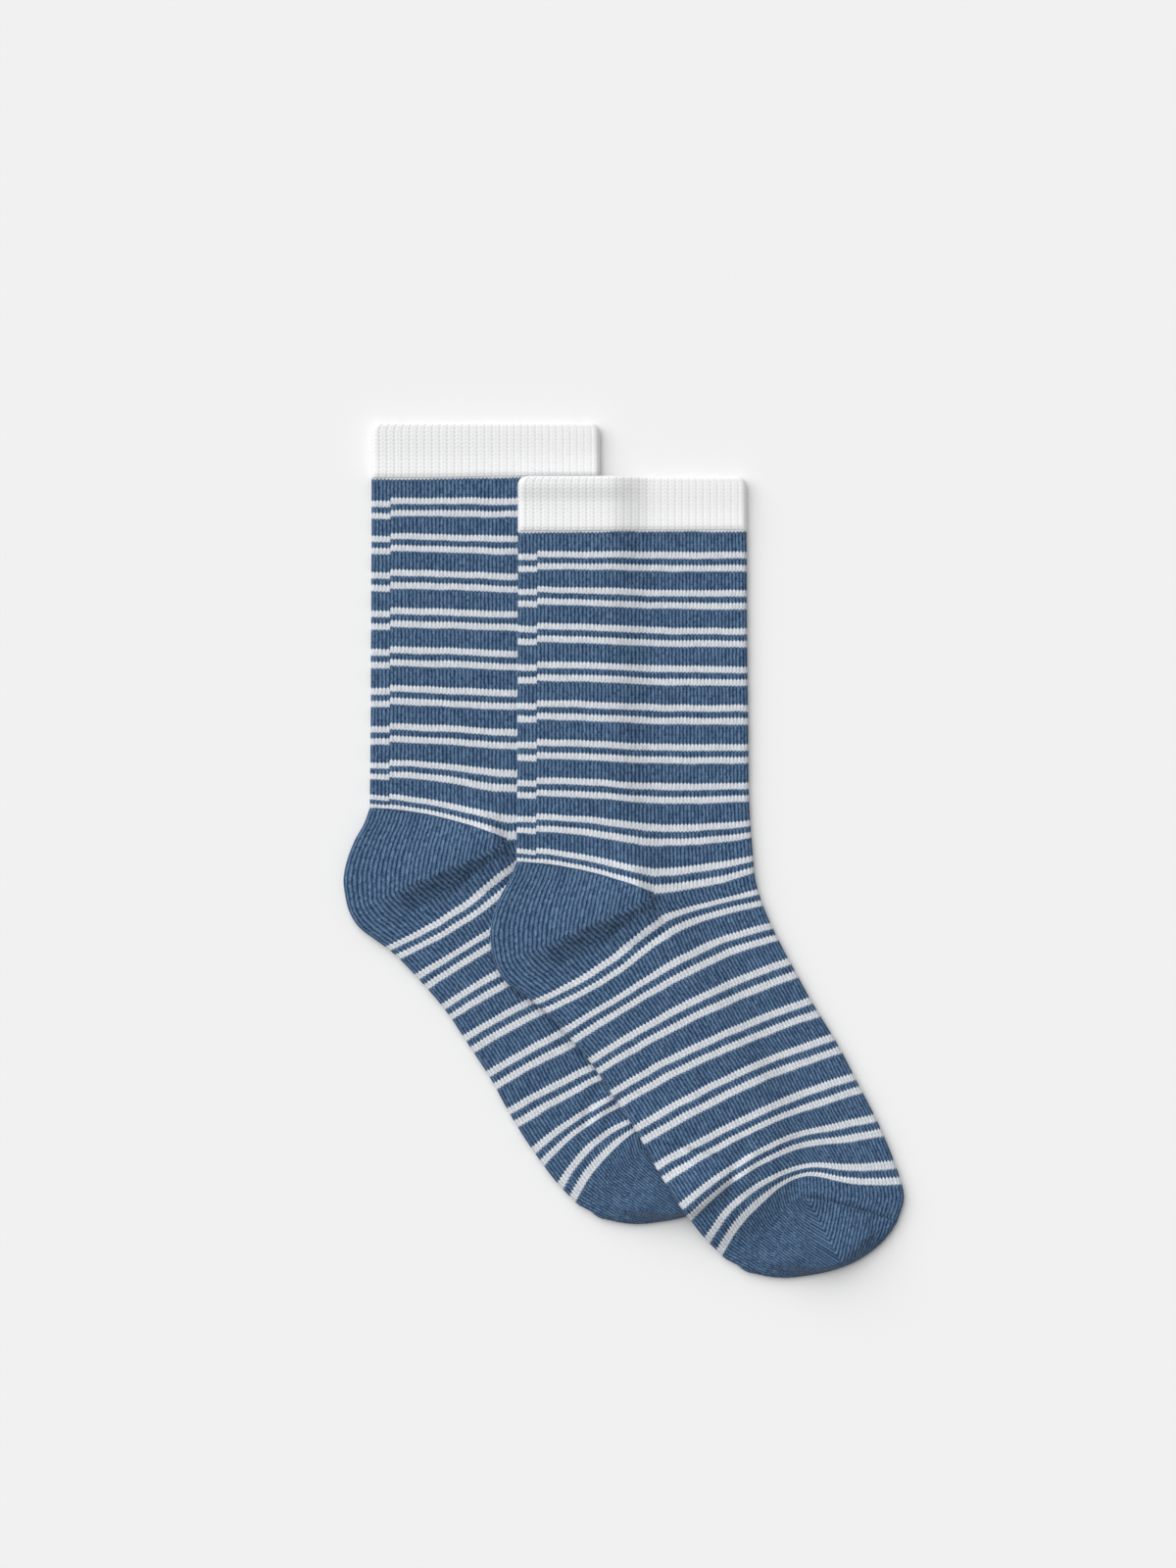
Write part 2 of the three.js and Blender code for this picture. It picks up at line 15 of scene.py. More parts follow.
import bpy
import numpy as np
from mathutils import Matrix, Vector


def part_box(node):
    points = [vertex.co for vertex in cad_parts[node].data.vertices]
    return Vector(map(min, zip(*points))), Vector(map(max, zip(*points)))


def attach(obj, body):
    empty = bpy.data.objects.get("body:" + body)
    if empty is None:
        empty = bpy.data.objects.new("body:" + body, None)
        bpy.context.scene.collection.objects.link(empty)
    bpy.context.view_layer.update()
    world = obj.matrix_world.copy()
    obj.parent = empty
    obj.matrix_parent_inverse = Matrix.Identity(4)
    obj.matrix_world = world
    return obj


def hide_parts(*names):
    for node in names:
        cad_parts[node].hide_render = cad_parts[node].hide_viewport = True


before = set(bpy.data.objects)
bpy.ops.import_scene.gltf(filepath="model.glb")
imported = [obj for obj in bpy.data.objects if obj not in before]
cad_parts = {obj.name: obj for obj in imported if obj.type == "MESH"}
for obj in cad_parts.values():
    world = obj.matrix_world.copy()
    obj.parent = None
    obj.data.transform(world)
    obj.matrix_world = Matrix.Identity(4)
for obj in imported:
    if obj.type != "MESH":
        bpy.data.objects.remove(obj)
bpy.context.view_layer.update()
MM = 0.001

# %% [markdown]
# ## The tables
#
# Each row of the course tables is one line of loops across the upper layer. Knitters count
# courses from the cuff, so the tables do too. The gore corner, where the heel pocket, the leg
# and the foot meet, is the sock's own origin, and all lengths here are millimetres.

# %% Tables of the sock's form
COURSE_COLUMNS = (
    "course", "backX", "backY", "backBow", "goreX", "goreY", "frontBow", "frontX", "frontY",
)
LEG = np.array([
    (0, -41.9, 110.5, 0.2, 0.0, 110.9, 0.0, 28.3, 111.0),
    (9, -41.9, 102.0, 0.0, 0.0, 101.7, 0.0, 28.4, 101.6),
    (21, -41.9, 91.3, -0.1, 0.0, 90.3, 0.1, 28.4, 90.1),
    (33, -42.0, 80.1, -0.1, 0.0, 78.8, 0.1, 28.5, 78.4),
    (45, -42.0, 68.2, -0.2, 0.0, 67.0, 0.1, 28.6, 66.7),
    (57, -42.1, 56.4, -0.2, 0.0, 55.0, 0.1, 28.8, 54.8),
    (69, -42.1, 44.5, -0.2, 0.0, 42.9, 0.1, 28.9, 42.9),
    (81, -42.2, 32.9, -0.4, 0.0, 30.8, 0.2, 29.0, 31.2),
    (93, -42.3, 21.9, -0.9, 0.0, 18.0, 0.7, 29.6, 19.9),
    (105, -42.4, 12.3, -1.2, 0.0, 3.9, 0.9, 30.5, 9.2),
    (108, -42.4, 9.8, -2.0, 0.0, 0.0, 1.1, 30.7, 6.5),
])
FOOT = np.array([
    (108, -42.6, -29.4, 1.7, 0.0, 0.0, 1.1, 30.7, 6.5),
    (117, -35.5, -34.6, 1.9, 4.5, -9.2, -0.7, 32.5, -1.1),
    (129, -26.7, -43.6, -0.3, 10.0, -21.4, -1.0, 36.9, -11.7),
    (141, -18.9, -52.8, -0.6, 17.1, -32.7, -0.3, 42.6, -22.6),
    (153, -12.3, -62.7, -0.9, 23.8, -44.2, -0.2, 49.2, -34.6),
    (165, -5.1, -73.8, -0.7, 30.8, -54.9, -0.3, 56.1, -45.9),
    (177, 1.2, -85.3, -0.7, 36.9, -66.8, -0.3, 62.4, -58.0),
    (189, 9.0, -97.3, -2.0, 42.4, -76.0, -0.1, 69.0, -71.0),
    (201, 17.8, -108.3, -4.6, 47.4, -84.6, 1.0, 74.8, -85.5),
    (204, 21.0, -111.5, -3.6, 46.6, -86.7, 1.2, 76.1, -89.5),
    (208, 23.1, -112.8, -3.1, 46.7, -89.8, 0.7, 76.5, -94.2),
    (212, 25.2, -113.9, -2.5, 46.8, -93.0, -0.7, 74.5, -100.5),
])
WHOLE = np.vstack([LEG, FOOT[1:]])

# Pocket outlines: angle from +X in degrees, and reach from the pocket's corner
HEEL_OUTLINE = np.array([
    (167.1, 43.5), (173.6, 44.5), (180.3, 47.1), (186.9, 49.7), (193.7, 52.0),
    (199.2, 52.9), (204.9, 53.5), (210.1, 53.1), (214.6, 51.8),
])
TOE_OUTLINE = np.array([
    (219.6, 30.1), (231.5, 29.1), (242.3, 27.5), (253.4, 26.0), (267.7, 24.4),
    (287.2, 23.9), (305.9, 24.8), (321.3, 26.1), (335.7, 27.7), (344.8, 28.7),
])

# Where the heel's wales turn sharply near its corner: the same two numbers
HEEL_MITRE = (204.0, 57.0)

HEEL_COURSE, TOE_COURSE, SEAM_COURSE = 108, 204, 212
GORE_PLACE = 0.6
KINK_COURSES = 9
CUFF_HEIGHT, CUFF_CORNER = 16.6, 2.6
BODY_WALL, CUFF_WALL, HOLLOW, RIB = 1.2, 1.4, 0.8, 0.3
MOUTH_LIFT, MOUTH_LIFT_FROM = 1.0, 5.0
BACK_SOCK = np.array([-45.0, 16.5])
REST_GAP, DRAPE_SHOULDER, DRAPE_REACH = 0.3, 2.5, 16.0

FRONT_ORIGIN = np.array([
    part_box("front_leg_and_foot")[0][0] / MM - FOOT[0][1],
    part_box("front_cuff")[1][1] / MM - LEG[0][8] - CUFF_HEIGHT,
])
print("gore corner of the front sock at", FRONT_ORIGIN.round(2), "mm")

# %% [markdown]
# ## Curves through the tables
#
# A smooth curve through a few measured knots is how a pattern cutter draws an edge. A cubic that
# takes its slope at each knot from the two neighbours does the same. It needs no even spacing
# and passes through every knot, where one high polynomial would swing wide between them.


# %% Smooth curves
def smooth_step(low, high, value):
    t = np.clip((value - low) / (high - low), 0, 1)
    return t * t * (3 - 2 * t)


def knot_slopes(x, y):
    steps = np.diff(x)
    chords = np.diff(y) / steps
    share = steps[:-1] / (steps[:-1] + steps[1:])
    middle = chords[:-1] * (1 - share) + chords[1:] * share
    return np.concatenate([chords[:1], middle, chords[-1:]])


def hermite(x0, y0, slope0, x1, y1, slope1, x):
    h = x1 - x0
    t = (x - x0) / h
    ends = y0 * (2 * t**3 - 3 * t**2 + 1) + y1 * (3 * t**2 - 2 * t**3)
    return ends + h * (slope0 * (t**3 - 2 * t**2 + t) + slope1 * (t**3 - t**2))


def through_knots(x, y, at):
    i = np.clip(np.searchsorted(x, at) - 1, 0, len(x) - 2)
    slopes = knot_slopes(x, y)
    return hermite(x[i], y[i], slopes[i], x[i + 1], y[i + 1], slopes[i + 1], at)


def read_table(rows, name, course):
    return through_knots(rows[:, 0], rows[:, COURSE_COLUMNS.index(name)], course)


def table_point(rows, name, course):
    return np.array([read_table(rows, name + "X", course), read_table(rows, name + "Y", course)])


print("back edge at the heel course", table_point(FOOT, "back", HEEL_COURSE))

# %% [markdown]
# ## Course lines and pockets
#
# A course line crosses the upper layer from the back edge, over the gore wale, to the front edge.
# It bends sharply at the gore corner, because the heel pocket pushes into the tube there, and the
# bend dies away within a stripe or two. A heel or toe pocket is knitted in short rows, so its
# wales turn round one corner, and its lines spread like the ribs of a fan.


# %% Course lines
def bowed_middle(back_end, front_end, bow):
    along = (front_end - back_end) / np.linalg.norm(front_end - back_end)
    return (back_end + front_end) / 2 + bow * np.array([along[1], -along[0]])


def course_line(region, course):
    """A course as a function of the half (front or back) and t, 0 on the gore wale, 1 outside."""
    rows = LEG if region == "leg" else FOOT
    back = table_point(rows, "back", course)
    gore = table_point(WHOLE, "gore", course)
    front = table_point(WHOLE, "front", course)
    back_middle = bowed_middle(back, gore, read_table(rows, "backBow", course))
    front_middle = bowed_middle(gore, front, read_table(WHOLE, "frontBow", course))
    knots = np.array([back, back_middle, gore, front_middle, front])
    places = np.array([0, GORE_PLACE / 2, GORE_PLACE, (1 + GORE_PLACE) / 2, 1])
    slopes = np.stack([knot_slopes(places, knots[:, axis]) for axis in (0, 1)], 1)
    kink = math.exp(-(((course - HEEL_COURSE) / KINK_COURSES) ** 2))

    def line(half, t):
        end, mid = (0, 1) if half == "back" else (4, 3)
        step = places[mid] - places[2]
        own_slope = (4 * knots[mid] - 3 * knots[2] - knots[end]) / (2 * step)
        gore_slope = slopes[2] * (1 - kink) + own_slope * kink
        end_slope = (3 * knots[end] - 4 * knots[mid] + knots[2]) / (2 * step)
        t = np.atleast_1d(t)[:, None]
        at = places[2] + (places[end] - places[2]) * t
        near = hermite(places[2], knots[2], gore_slope, places[mid], knots[mid], slopes[mid], at)
        far = hermite(places[mid], knots[mid], slopes[mid], places[end], knots[end], end_slope, at)
        return np.where(t < 0.5, near, far)

    return line


# %% Pocket fans and cuff rows
def polar(angle, reach):
    radians = np.radians(angle)
    return reach * np.stack([np.cos(radians), np.sin(radians)], -1)


def mitred_reach(angle, knots):
    """Reach, at each angle, of straight lines drawn from knot to knot."""
    i = np.clip(np.searchsorted(knots[:, 0], angle) - 1, 0, len(knots) - 2)
    start = polar(knots[i, 0], knots[i, 1, None])
    side = polar(knots[i + 1, 0], knots[i + 1, 1, None]) - start
    toward = polar(angle, np.ones((len(angle), 1)))
    return cross(start, side) / cross(toward, side)


def cross(a, b):
    return a[:, 0] * b[:, 1] - a[:, 1] * b[:, 0]


def pocket_fan(corner, outline, mitre, first_line, last_line):
    """Lines that fan round a corner. Each keeps a share of the bend of the first and the last.

    Near the corner the wales run straight and turn sharply at the mitre, where the short rows
    turned. Further out they follow the outline.
    """
    first_end = first_line(1.0) - corner
    last_end = last_line(1.0) - corner
    inner = np.array([outline[0], *mitre, outline[-1]])

    def fan(turn):
        turn = np.atleast_1d(turn)
        angle = outline[0, 0] + (outline[-1, 0] - outline[0, 0]) * turn
        reach = through_knots(outline[:, 0], outline[:, 1], angle)[:, None]
        end = polar(angle, reach)
        bulge = mitred_reach(angle, inner)[:, None] / reach - 1 if mitre else 0
        turn = turn[:, None]

        def line(half, t):
            first_bend = first_line(t) - corner - np.atleast_1d(t)[:, None] * first_end
            last_bend = last_line(t) - corner - np.atleast_1d(t)[:, None] * last_end
            t = np.atleast_1d(t)[:, None]
            straight = corner + t * (1 + bulge * (1 - t * t)) * end
            return straight + (1 - turn) * first_bend + turn * last_bend

        return line

    return fan


TOE_CORNER = table_point(FOOT, "gore", SEAM_COURSE)
leg_end, foot_start = course_line("leg", HEEL_COURSE), course_line("foot", HEEL_COURSE)
toe_start = course_line("foot", SEAM_COURSE)
heel_fan = pocket_fan(
    np.zeros(2), HEEL_OUTLINE, [HEEL_MITRE],
    lambda t: leg_end("back", t), lambda t: foot_start("back", t),
)
toe_fan = pocket_fan(
    TOE_CORNER, TOE_OUTLINE, [],
    lambda t: toe_start("back", t), lambda t: toe_start("front", t),
)


def cuff_line(height):
    above = max(0.0, height - (CUFF_HEIGHT - CUFF_CORNER))
    draw_in = CUFF_CORNER - math.sqrt(max(0.0, CUFF_CORNER**2 - above**2))
    start = course_line("leg", 0)

    def line(half, t):
        t = np.atleast_1d(t)
        point = start(half, t)
        edge = start(half, 1.0)[0, 0] + (draw_in if half == "back" else -draw_in)
        x = point[:, 0] + (t * edge - point[:, 0]) * smooth_step(0, 1, t)
        y = point[:, 1] + (LEG[0][8] - point[:, 1]) * height / CUFF_HEIGHT + height
        return np.stack([x, y], 1)

    return line


print("toe corner", TOE_CORNER, "cuff top at y", cuff_line(CUFF_HEIGHT)("front", 1.0)[0, 1])

# %% [markdown]
# ## Heights
#
# Cloth this soft takes its height from what is under it. The back sock lies on the surface. The
# front sock is lifted by the back one and eases down to the surface past its edge. The larger
# soft forms are placed one by one, each as a bell-shaped ridge or trough along a path: the fold
# across the heel, the crescent fold that ends the swelling of the toe, the crease beside it, and
# the groove of the toe seam. A cloth simulation would give folds too, but not these ones.


# %% The back sock's outline and the distance to it
def sock_outline():
    cuff_heights = (CUFF_HEIGHT, 16.0, 15.0, 13.4, 0)
    points = [cuff_line(height)("back", 1.0) for height in cuff_heights]
    points += [course_line("leg", course)("back", 1.0) for course in range(4, HEEL_COURSE + 1, 4)]
    points += [heel_fan(row / 10)("back", 1.0) for row in range(1, 10)]
    sole = range(HEEL_COURSE, SEAM_COURSE + 1, 4)
    points += [course_line("foot", course)("back", 1.0) for course in sole]
    points += [toe_fan(row / 14)("back", 1.0) for row in range(1, 14)]
    points += [course_line("foot", course)("front", 1.0) for course in reversed(sole)]
    points += [course_line("leg", course)("front", 1.0) for course in range(104, 3, -4)]
    points += [cuff_line(height)("front", 1.0) for height in reversed(cuff_heights)]
    return np.vstack(points)


def distance_outside(points, outline):
    """Distance of each point outside a closed outline, less than nothing inside it."""
    a = outline[None]
    b = np.roll(outline, -1, 0)[None]
    p = points[:, None]
    side = b - a
    t = np.clip(((p - a) * side).sum(2) / (side**2).sum(2), 0, 1)
    nearest = np.linalg.norm(p - a - t[..., None] * side, axis=2).min(1)
    crosses = (a[..., 1] > p[..., 1]) != (b[..., 1] > p[..., 1])
    rise = np.where(side[..., 1] == 0, 1, side[..., 1])
    at = a[..., 0] + side[..., 0] * (p[..., 1] - a[..., 1]) / rise
    inside = (crosses & (p[..., 0] < at)).sum(1) % 2 == 1
    return np.where(inside, -nearest, nearest)


BACK_OUTLINE = sock_outline() + BACK_SOCK
print("outline of", len(BACK_OUTLINE), "points")

# %% Paths of the soft forms
HEEL_FOLD = np.array([(1, 0), (-8.4, -4.4), (-20.7, -9.1), (-33, -15.5), (-44, -19)])
TOE_SWELL_CENTRE, TOE_SWELL_HALF, TOE_SWELL_HEIGHT = (45.5, -95.5), (23, 19), 1.2
TOE_CRESCENT = np.array([
    (30.0, -108.5), (36.0, -112.7), (45.0, -113.6), (50.7, -113.9), (55.2, -113.0),
    (59.4, -109.8), (62.4, -106.2), (64.5, -103.8), (67.0, -99.0),
])
TOE_CREASE = np.array([(30.0, -72.9), (27.9, -76.8), (25.2, -82.5), (23.7, -88.5), (22.5, -91.2)])
TOE_SEAM = toe_start("front", np.linspace(0, 0.96, 12))


def along_path(points, path):
    """Distance to the left of a path, less than nothing to its right, and the share gone by."""
    nearest = np.full(len(points), np.inf)
    across = np.zeros(len(points))
    along = np.zeros(len(points))
    for i in range(len(path) - 1):
        side = path[i + 1] - path[i]
        offset = points - path[i]
        t = np.clip(offset @ side / (side @ side), 0, 1)
        gap = np.linalg.norm(offset - t[:, None] * side, axis=1)
        left = np.sign(side[0] * offset[:, 1] - side[1] * offset[:, 0])
        closer = gap < nearest
        nearest = np.where(closer, gap, nearest)
        across = np.where(closer, left * gap, across)
        along = np.where(closer, (i + t) / (len(path) - 1), along)
    return across, along


def bell(distance, width):
    return np.exp(-((distance / width) ** 2))


def faded_ends(along, risen_by, fades_from):
    return smooth_step(0, risen_by, along) * (1 - smooth_step(fades_from, 1, along))


# %% Height of the upper layer over the lower one
def relief(points):
    across, along = along_path(points, HEEL_FOLD)
    ridge = 4.4 * bell(across, np.where(across > 0, 4.2, 12.0))
    raised = (ridge - 0.7 * bell(across - 9.0, 4.0)) * faded_ends(along, 0.12, 0.55)

    off_centre = (points - TOE_SWELL_CENTRE) / TOE_SWELL_HALF
    q = np.minimum((off_centre**2).sum(1), 1)
    raised += TOE_SWELL_HEIGHT * (1 - q * q) ** 2

    across, along = along_path(points, TOE_CRESCENT)
    outer = 2.0 + 1.6 * smooth_step(0.4, 0.8, along)
    lip = 3.6 * bell(across, np.where(across > 0, 10.0, outer))
    raised += lip * faded_ends(along, 0.25, 0.85)

    across, along = along_path(points, TOE_CREASE)
    crease = 1.2 * bell(across - 3.2, 2.6) - 0.6 * bell(across, 1.6) + 0.5 * bell(across + 3.6, 3.0)
    raised += crease * faded_ends(along, 0.4, 0.6)

    across, along = along_path(points, TOE_SEAM)
    groove = 0.6 * bell(across, 2.0) - 1.2 * bell(across, 0.7)
    uneven = 0.75 + 0.25 * np.sin(22 * along)
    return raised + groove * uneven * faded_ends(along, 0.05, 0.9)


def sock_top(points):
    body = 2 * BODY_WALL + HOLLOW
    cuff = 2 * CUFF_WALL + HOLLOW + 2 * RIB
    into_cuff = smooth_step(LEG[0][8] - 8, LEG[0][8] - 2, points[:, 1])
    return body + (cuff - body) * into_cuff + np.maximum(0, relief(points))


def lies_flat(points):
    return np.zeros(len(points))


def lies_over_back_sock(points):
    outside = distance_outside(points, BACK_OUTLINE)
    ease = 1 - smooth_step(DRAPE_SHOULDER, DRAPE_REACH, outside)
    return ease * (sock_top(points - BACK_SOCK) + REST_GAP)


print("front sock lifted at its gore corner by", lies_over_back_sock(np.zeros((1, 2)))[0], "mm")

# %% [markdown]
# ## The section of a flattened tube
#
# Cut across, the tube is a long flat ring: two straight layers joined by a tight round turn at
# each edge. Counting 64 wales across the face of the leg gives 128 round the tube. Every point
# of cloth is found from its wale, which says how far it is along the flat part or round the
# turn, and from the course line that it lies on. Three columns of points a wale are enough for
# a broad ridge with a narrow valley, which is how plain knitting looks from its face.

# %% Columns round the section
WALES = 128
FRONT_WALES, BACK_WALES, ROUND_WALES = 54, 74, 4.46
BODY_COLUMNS, CUFF_COLUMNS = 3, 4


class Columns:
    """Columns of cloth in one or both halves, by wale: 0 on top at the gore, 54 under it."""

    def __init__(self, wales, in_front):
        self.wale = wales
        self.front = in_front
        gone = np.where(in_front, wales, wales - FRONT_WALES)
        flat = (np.where(in_front, FRONT_WALES, BACK_WALES) - ROUND_WALES) / 2
        self.reach = np.minimum(np.minimum(gone, 2 * flat + ROUND_WALES - gone) / flat, 1)
        bent = np.clip((gone - flat) / ROUND_WALES, 0, 1)
        self.turn = (0.5 - bent) * math.pi * np.where(in_front, 1, -1)


def ring_columns(per_wale):
    wales = np.arange(WALES * per_wale) / per_wale
    return Columns(wales, wales <= FRONT_WALES)


def back_columns(per_wale):
    wales = FRONT_WALES + np.arange(BACK_WALES * per_wale + 1) / per_wale
    return Columns(wales, np.zeros(len(wales), bool))


ring, pocket = ring_columns(BODY_COLUMNS), back_columns(BODY_COLUMNS)
cuff_ring = ring_columns(CUFF_COLUMNS)
print(len(ring.wale), "columns round the tube,", len(pocket.wale), "over a pocket")

# %% [markdown]
# ## One row of points
#
# A row follows a course line: the flat parts stop one radius short of the outline, and the turn
# is a half circle. The same function makes the outer face, with the radius of the whole cloth,
# and the inner face, with the radius of the hollow. It also gives the direction that points out
# of the cloth, along which the knit relief is cut later.


# %% Points of one row
def section(line, columns, radius, wall, support, tip=0.0, lift=0.0):
    centre = wall + HOLLOW / 2
    xyz = np.zeros((len(columns.wale), 3))
    outward = np.zeros_like(xyz)
    for half, chosen in (("front", columns.front), ("back", ~columns.front)):
        if not chosen.any():
            continue
        start, near_end, end = (line(half, t)[0] for t in (0.0, 0.98, 1.0))
        length = np.linalg.norm(end - start)
        turn = columns.turn[chosen]
        flat = tip / length + (1 - (centre + tip) / length) * columns.reach[chosen]
        plan = line(half, flat + radius * np.cos(turn) / length)
        up = np.sin(turn)
        raised = np.maximum(up, 0) * (relief(plan) + lift)
        xyz[chosen, :2] = plan
        xyz[chosen, 2] = support(plan) + centre + radius * up + raised
        to_edge = (end - near_end) / np.linalg.norm(end - near_end)
        outward[chosen, :2] = to_edge * np.cos(turn)[:, None]
        outward[chosen, 2] = up
    return xyz, outward


# %% [markdown]
# ## A shell of cloth
#
# A wall of cloth is an outer face, an inner face the other way round, and rims that join the two
# along every open edge, so that it is one closed body like the real thing. Rows of points are
# joined strip by strip in one direction, down the outside, over the rim and back up the inside,
# which keeps every face pointing out. Each strip notes its wales and courses in a UV map, and
# gets a place of its own on a second map, which a texture can later be baked through.

# %% Shell of cloth
Row = namedtuple("Row", "index xyz wale stitch course")
STITCH_MAP, BAKE_MAP = "stitches", "OFBake"
SPIRAL_EASED = 4
RIM_ANGLE = 55


def edge_uses(corners, sizes):
    """How many faces share each edge: two on a closed body."""
    ends = np.cumsum(sizes)
    following = np.arange(len(corners)) + 1
    following[ends - 1] = ends - sizes
    pairs = np.sort(np.stack([corners, corners[following]], 1), 1)
    return np.unique(pairs, axis=0, return_counts=True)[1]


def four_corners(first, second, here, after):
    return [first[here], second[here], second[after], first[after]]


class Shell:
    def __init__(self, origin, jog=None, last=None):
        self.origin, self.jog, self.last = origin, jog, last
        self.xyz, self.outward, self.wale, self.course = [], [], [], []
        self.quads, self.stitches, self.places = [], [], []
        self.count, self.unrolled = 0, 0.0

    def add(self, xyz, outward, columns, course, stitch=None):
        """A row of points. Its knit pattern has the columns' own wales unless others are given."""
        course = np.broadcast_to(course, len(xyz)).astype(float)
        stitch = columns.wale if stitch is None else stitch
        index = self.count + np.arange(len(xyz))
        self.count += len(xyz)
        self.xyz.append(xyz)
        self.outward.append(outward)
        self.wale.append(stitch)
        self.course.append(course)
        return Row(index, xyz, columns.wale, stitch, course)

    def sunk(self, left, wale, course):
        """Courses by which the spiral has dropped. It jumps back past the jog, and ends level."""
        if self.jog is None:
            return np.zeros(len(wale))
        gone = np.clip((wale - FRONT_WALES / 2) / (self.jog - FRONT_WALES / 2), 0, 1)
        begun = np.clip(course / SPIRAL_EASED, 0, 1)
        left_over = np.clip((self.last - course) / SPIRAL_EASED, 0, 1)
        return np.where(left < self.jog, gone, 0) * begun * left_over

    def strip(self, first, second, closed=False):
        """Faces between two rows, down from the first to the second."""
        n = len(first.index)
        here = np.arange(n if closed else n - 1)
        after = (here + 1) % n
        left = first.wale[here]
        wales = [left, left, *[np.where(after > here, first.wale[after], WALES)] * 2]
        patterned = four_corners(first.stitch, second.stitch, here, after)
        for corner in (2, 3):
            patterned[corner] = np.where(after > here, patterned[corner], WALES)
        courses = four_corners(first.course, second.course, here, after)
        stitches = [
            np.stack([u, course - self.sunk(left, wale, course)], 1)
            for u, wale, course in zip(patterned, wales, courses)
        ]
        top = self.unrolled
        self.unrolled += np.linalg.norm(first.xyz - second.xyz, axis=1).mean()
        heights = [top, self.unrolled, self.unrolled, top]
        places = [np.stack([w / WALES, np.full(len(w), h)], 1) for w, h in zip(wales, heights)]
        self.quads.append(np.stack(four_corners(first.index, second.index, here, after), 1))
        self.stitches.append(np.stack(stitches, 1))
        self.places.append(np.stack(places, 1))

    def build(self, name):
        quads = np.vstack(self.quads)
        used, flat = np.unique(quads, return_inverse=True)
        quads = flat.reshape(quads.shape)
        kept = quads != np.roll(quads, -1, 1)
        whole = kept.sum(1) > 2
        kept = kept[whole]
        sizes = kept.sum(1)
        corners = quads[whole][kept]
        starts = np.cumsum(sizes) - sizes

        mesh = bpy.data.meshes.new(name)
        mesh.vertices.add(len(used))
        mesh.loops.add(len(corners))
        mesh.polygons.add(len(sizes))
        placed = (np.vstack(self.xyz)[used] + [*self.origin, 0]) * MM
        mesh.vertices.foreach_set("co", placed.astype(np.float32).ravel())
        mesh.loops.foreach_set("vertex_index", corners.astype(np.int32))
        mesh.polygons.foreach_set("loop_start", starts.astype(np.int32))
        mesh.update(calc_edges=True)

        places = np.vstack(self.places) / (1, self.unrolled)
        for map_name, values in ((STITCH_MAP, np.vstack(self.stitches)), (BAKE_MAP, places)):
            layer = mesh.uv_layers.new(name=map_name)
            layer.data.foreach_set("uv", values[whole][kept].astype(np.float32).ravel())
        for key, kind, field, rows in (
            ("wale", "FLOAT", "value", self.wale),
            ("course", "FLOAT", "value", self.course),
            ("outward", "FLOAT_VECTOR", "vector", self.outward),
        ):
            values = np.concatenate(rows)[used].astype(np.float32).ravel()
            mesh.attributes.new(key, kind, "POINT").data.foreach_set(field, values)
        mesh.polygons.foreach_set("use_smooth", np.ones(len(sizes), bool))
        mesh.set_sharp_from_angle(angle=math.radians(RIM_ANGLE))
        piece = bpy.data.objects.new(name, mesh)
        bpy.context.scene.collection.objects.link(piece)
        open_edges = int((edge_uses(corners, sizes) != 2).sum())
        print(name, int((sizes - 2).sum()), "triangles,", open_edges, "open edges")
        return piece


# %% [markdown]
# ## Leg and foot
#
# The body cloth is one row a course on the outside. The inside is hardly ever seen, so it has
# fewer rows. At the heel course the tube is open behind the gore corner, in a lens that the heel
# pocket fills, so the last row of the leg and the first row of the foot share their front half.
# The stripes are knitted in a spiral, so somewhere round the tube they step by one course. That
# jog is near the back edge of the leg, and on the sole's edge in the foot.

# %% Leg and foot
SEAM = 0.01
INNER_STEP = 12
TEETH = 0.4
LEG_JOG, FOOT_JOG = 97, 91
BACK_FIRST = FRONT_WALES * BODY_COLUMNS


def course_row(shell, support, region, course, outer=True):
    radius = BODY_WALL + HOLLOW / 2 if outer else HOLLOW / 2
    xyz, outward = section(course_line(region, course), ring, radius, BODY_WALL, support)
    return shell.add(xyz, outward * (outer and course >= 0), ring, course)


def back_half(row):
    """The half of a ring behind the gore, from the wale under it round to the one on top."""
    picked = np.append(np.arange(BACK_FIRST, len(row.index)), 0)
    wale, stitch = (np.append(field[BACK_FIRST:], WALES) for field in (row.wale, row.stitch))
    return Row(row.index[picked], row.xyz[picked], wale, stitch, row.course[picked])


def front_half(row):
    return Row(*(field[: BACK_FIRST + 1] for field in row))


def share_front(row, other):
    return row._replace(index=np.where(ring.front, other.index, row.index))


def strips(shell, rows, closed=False):
    for first, second in zip(rows, rows[1:]):
        shell.strip(first, second, closed)


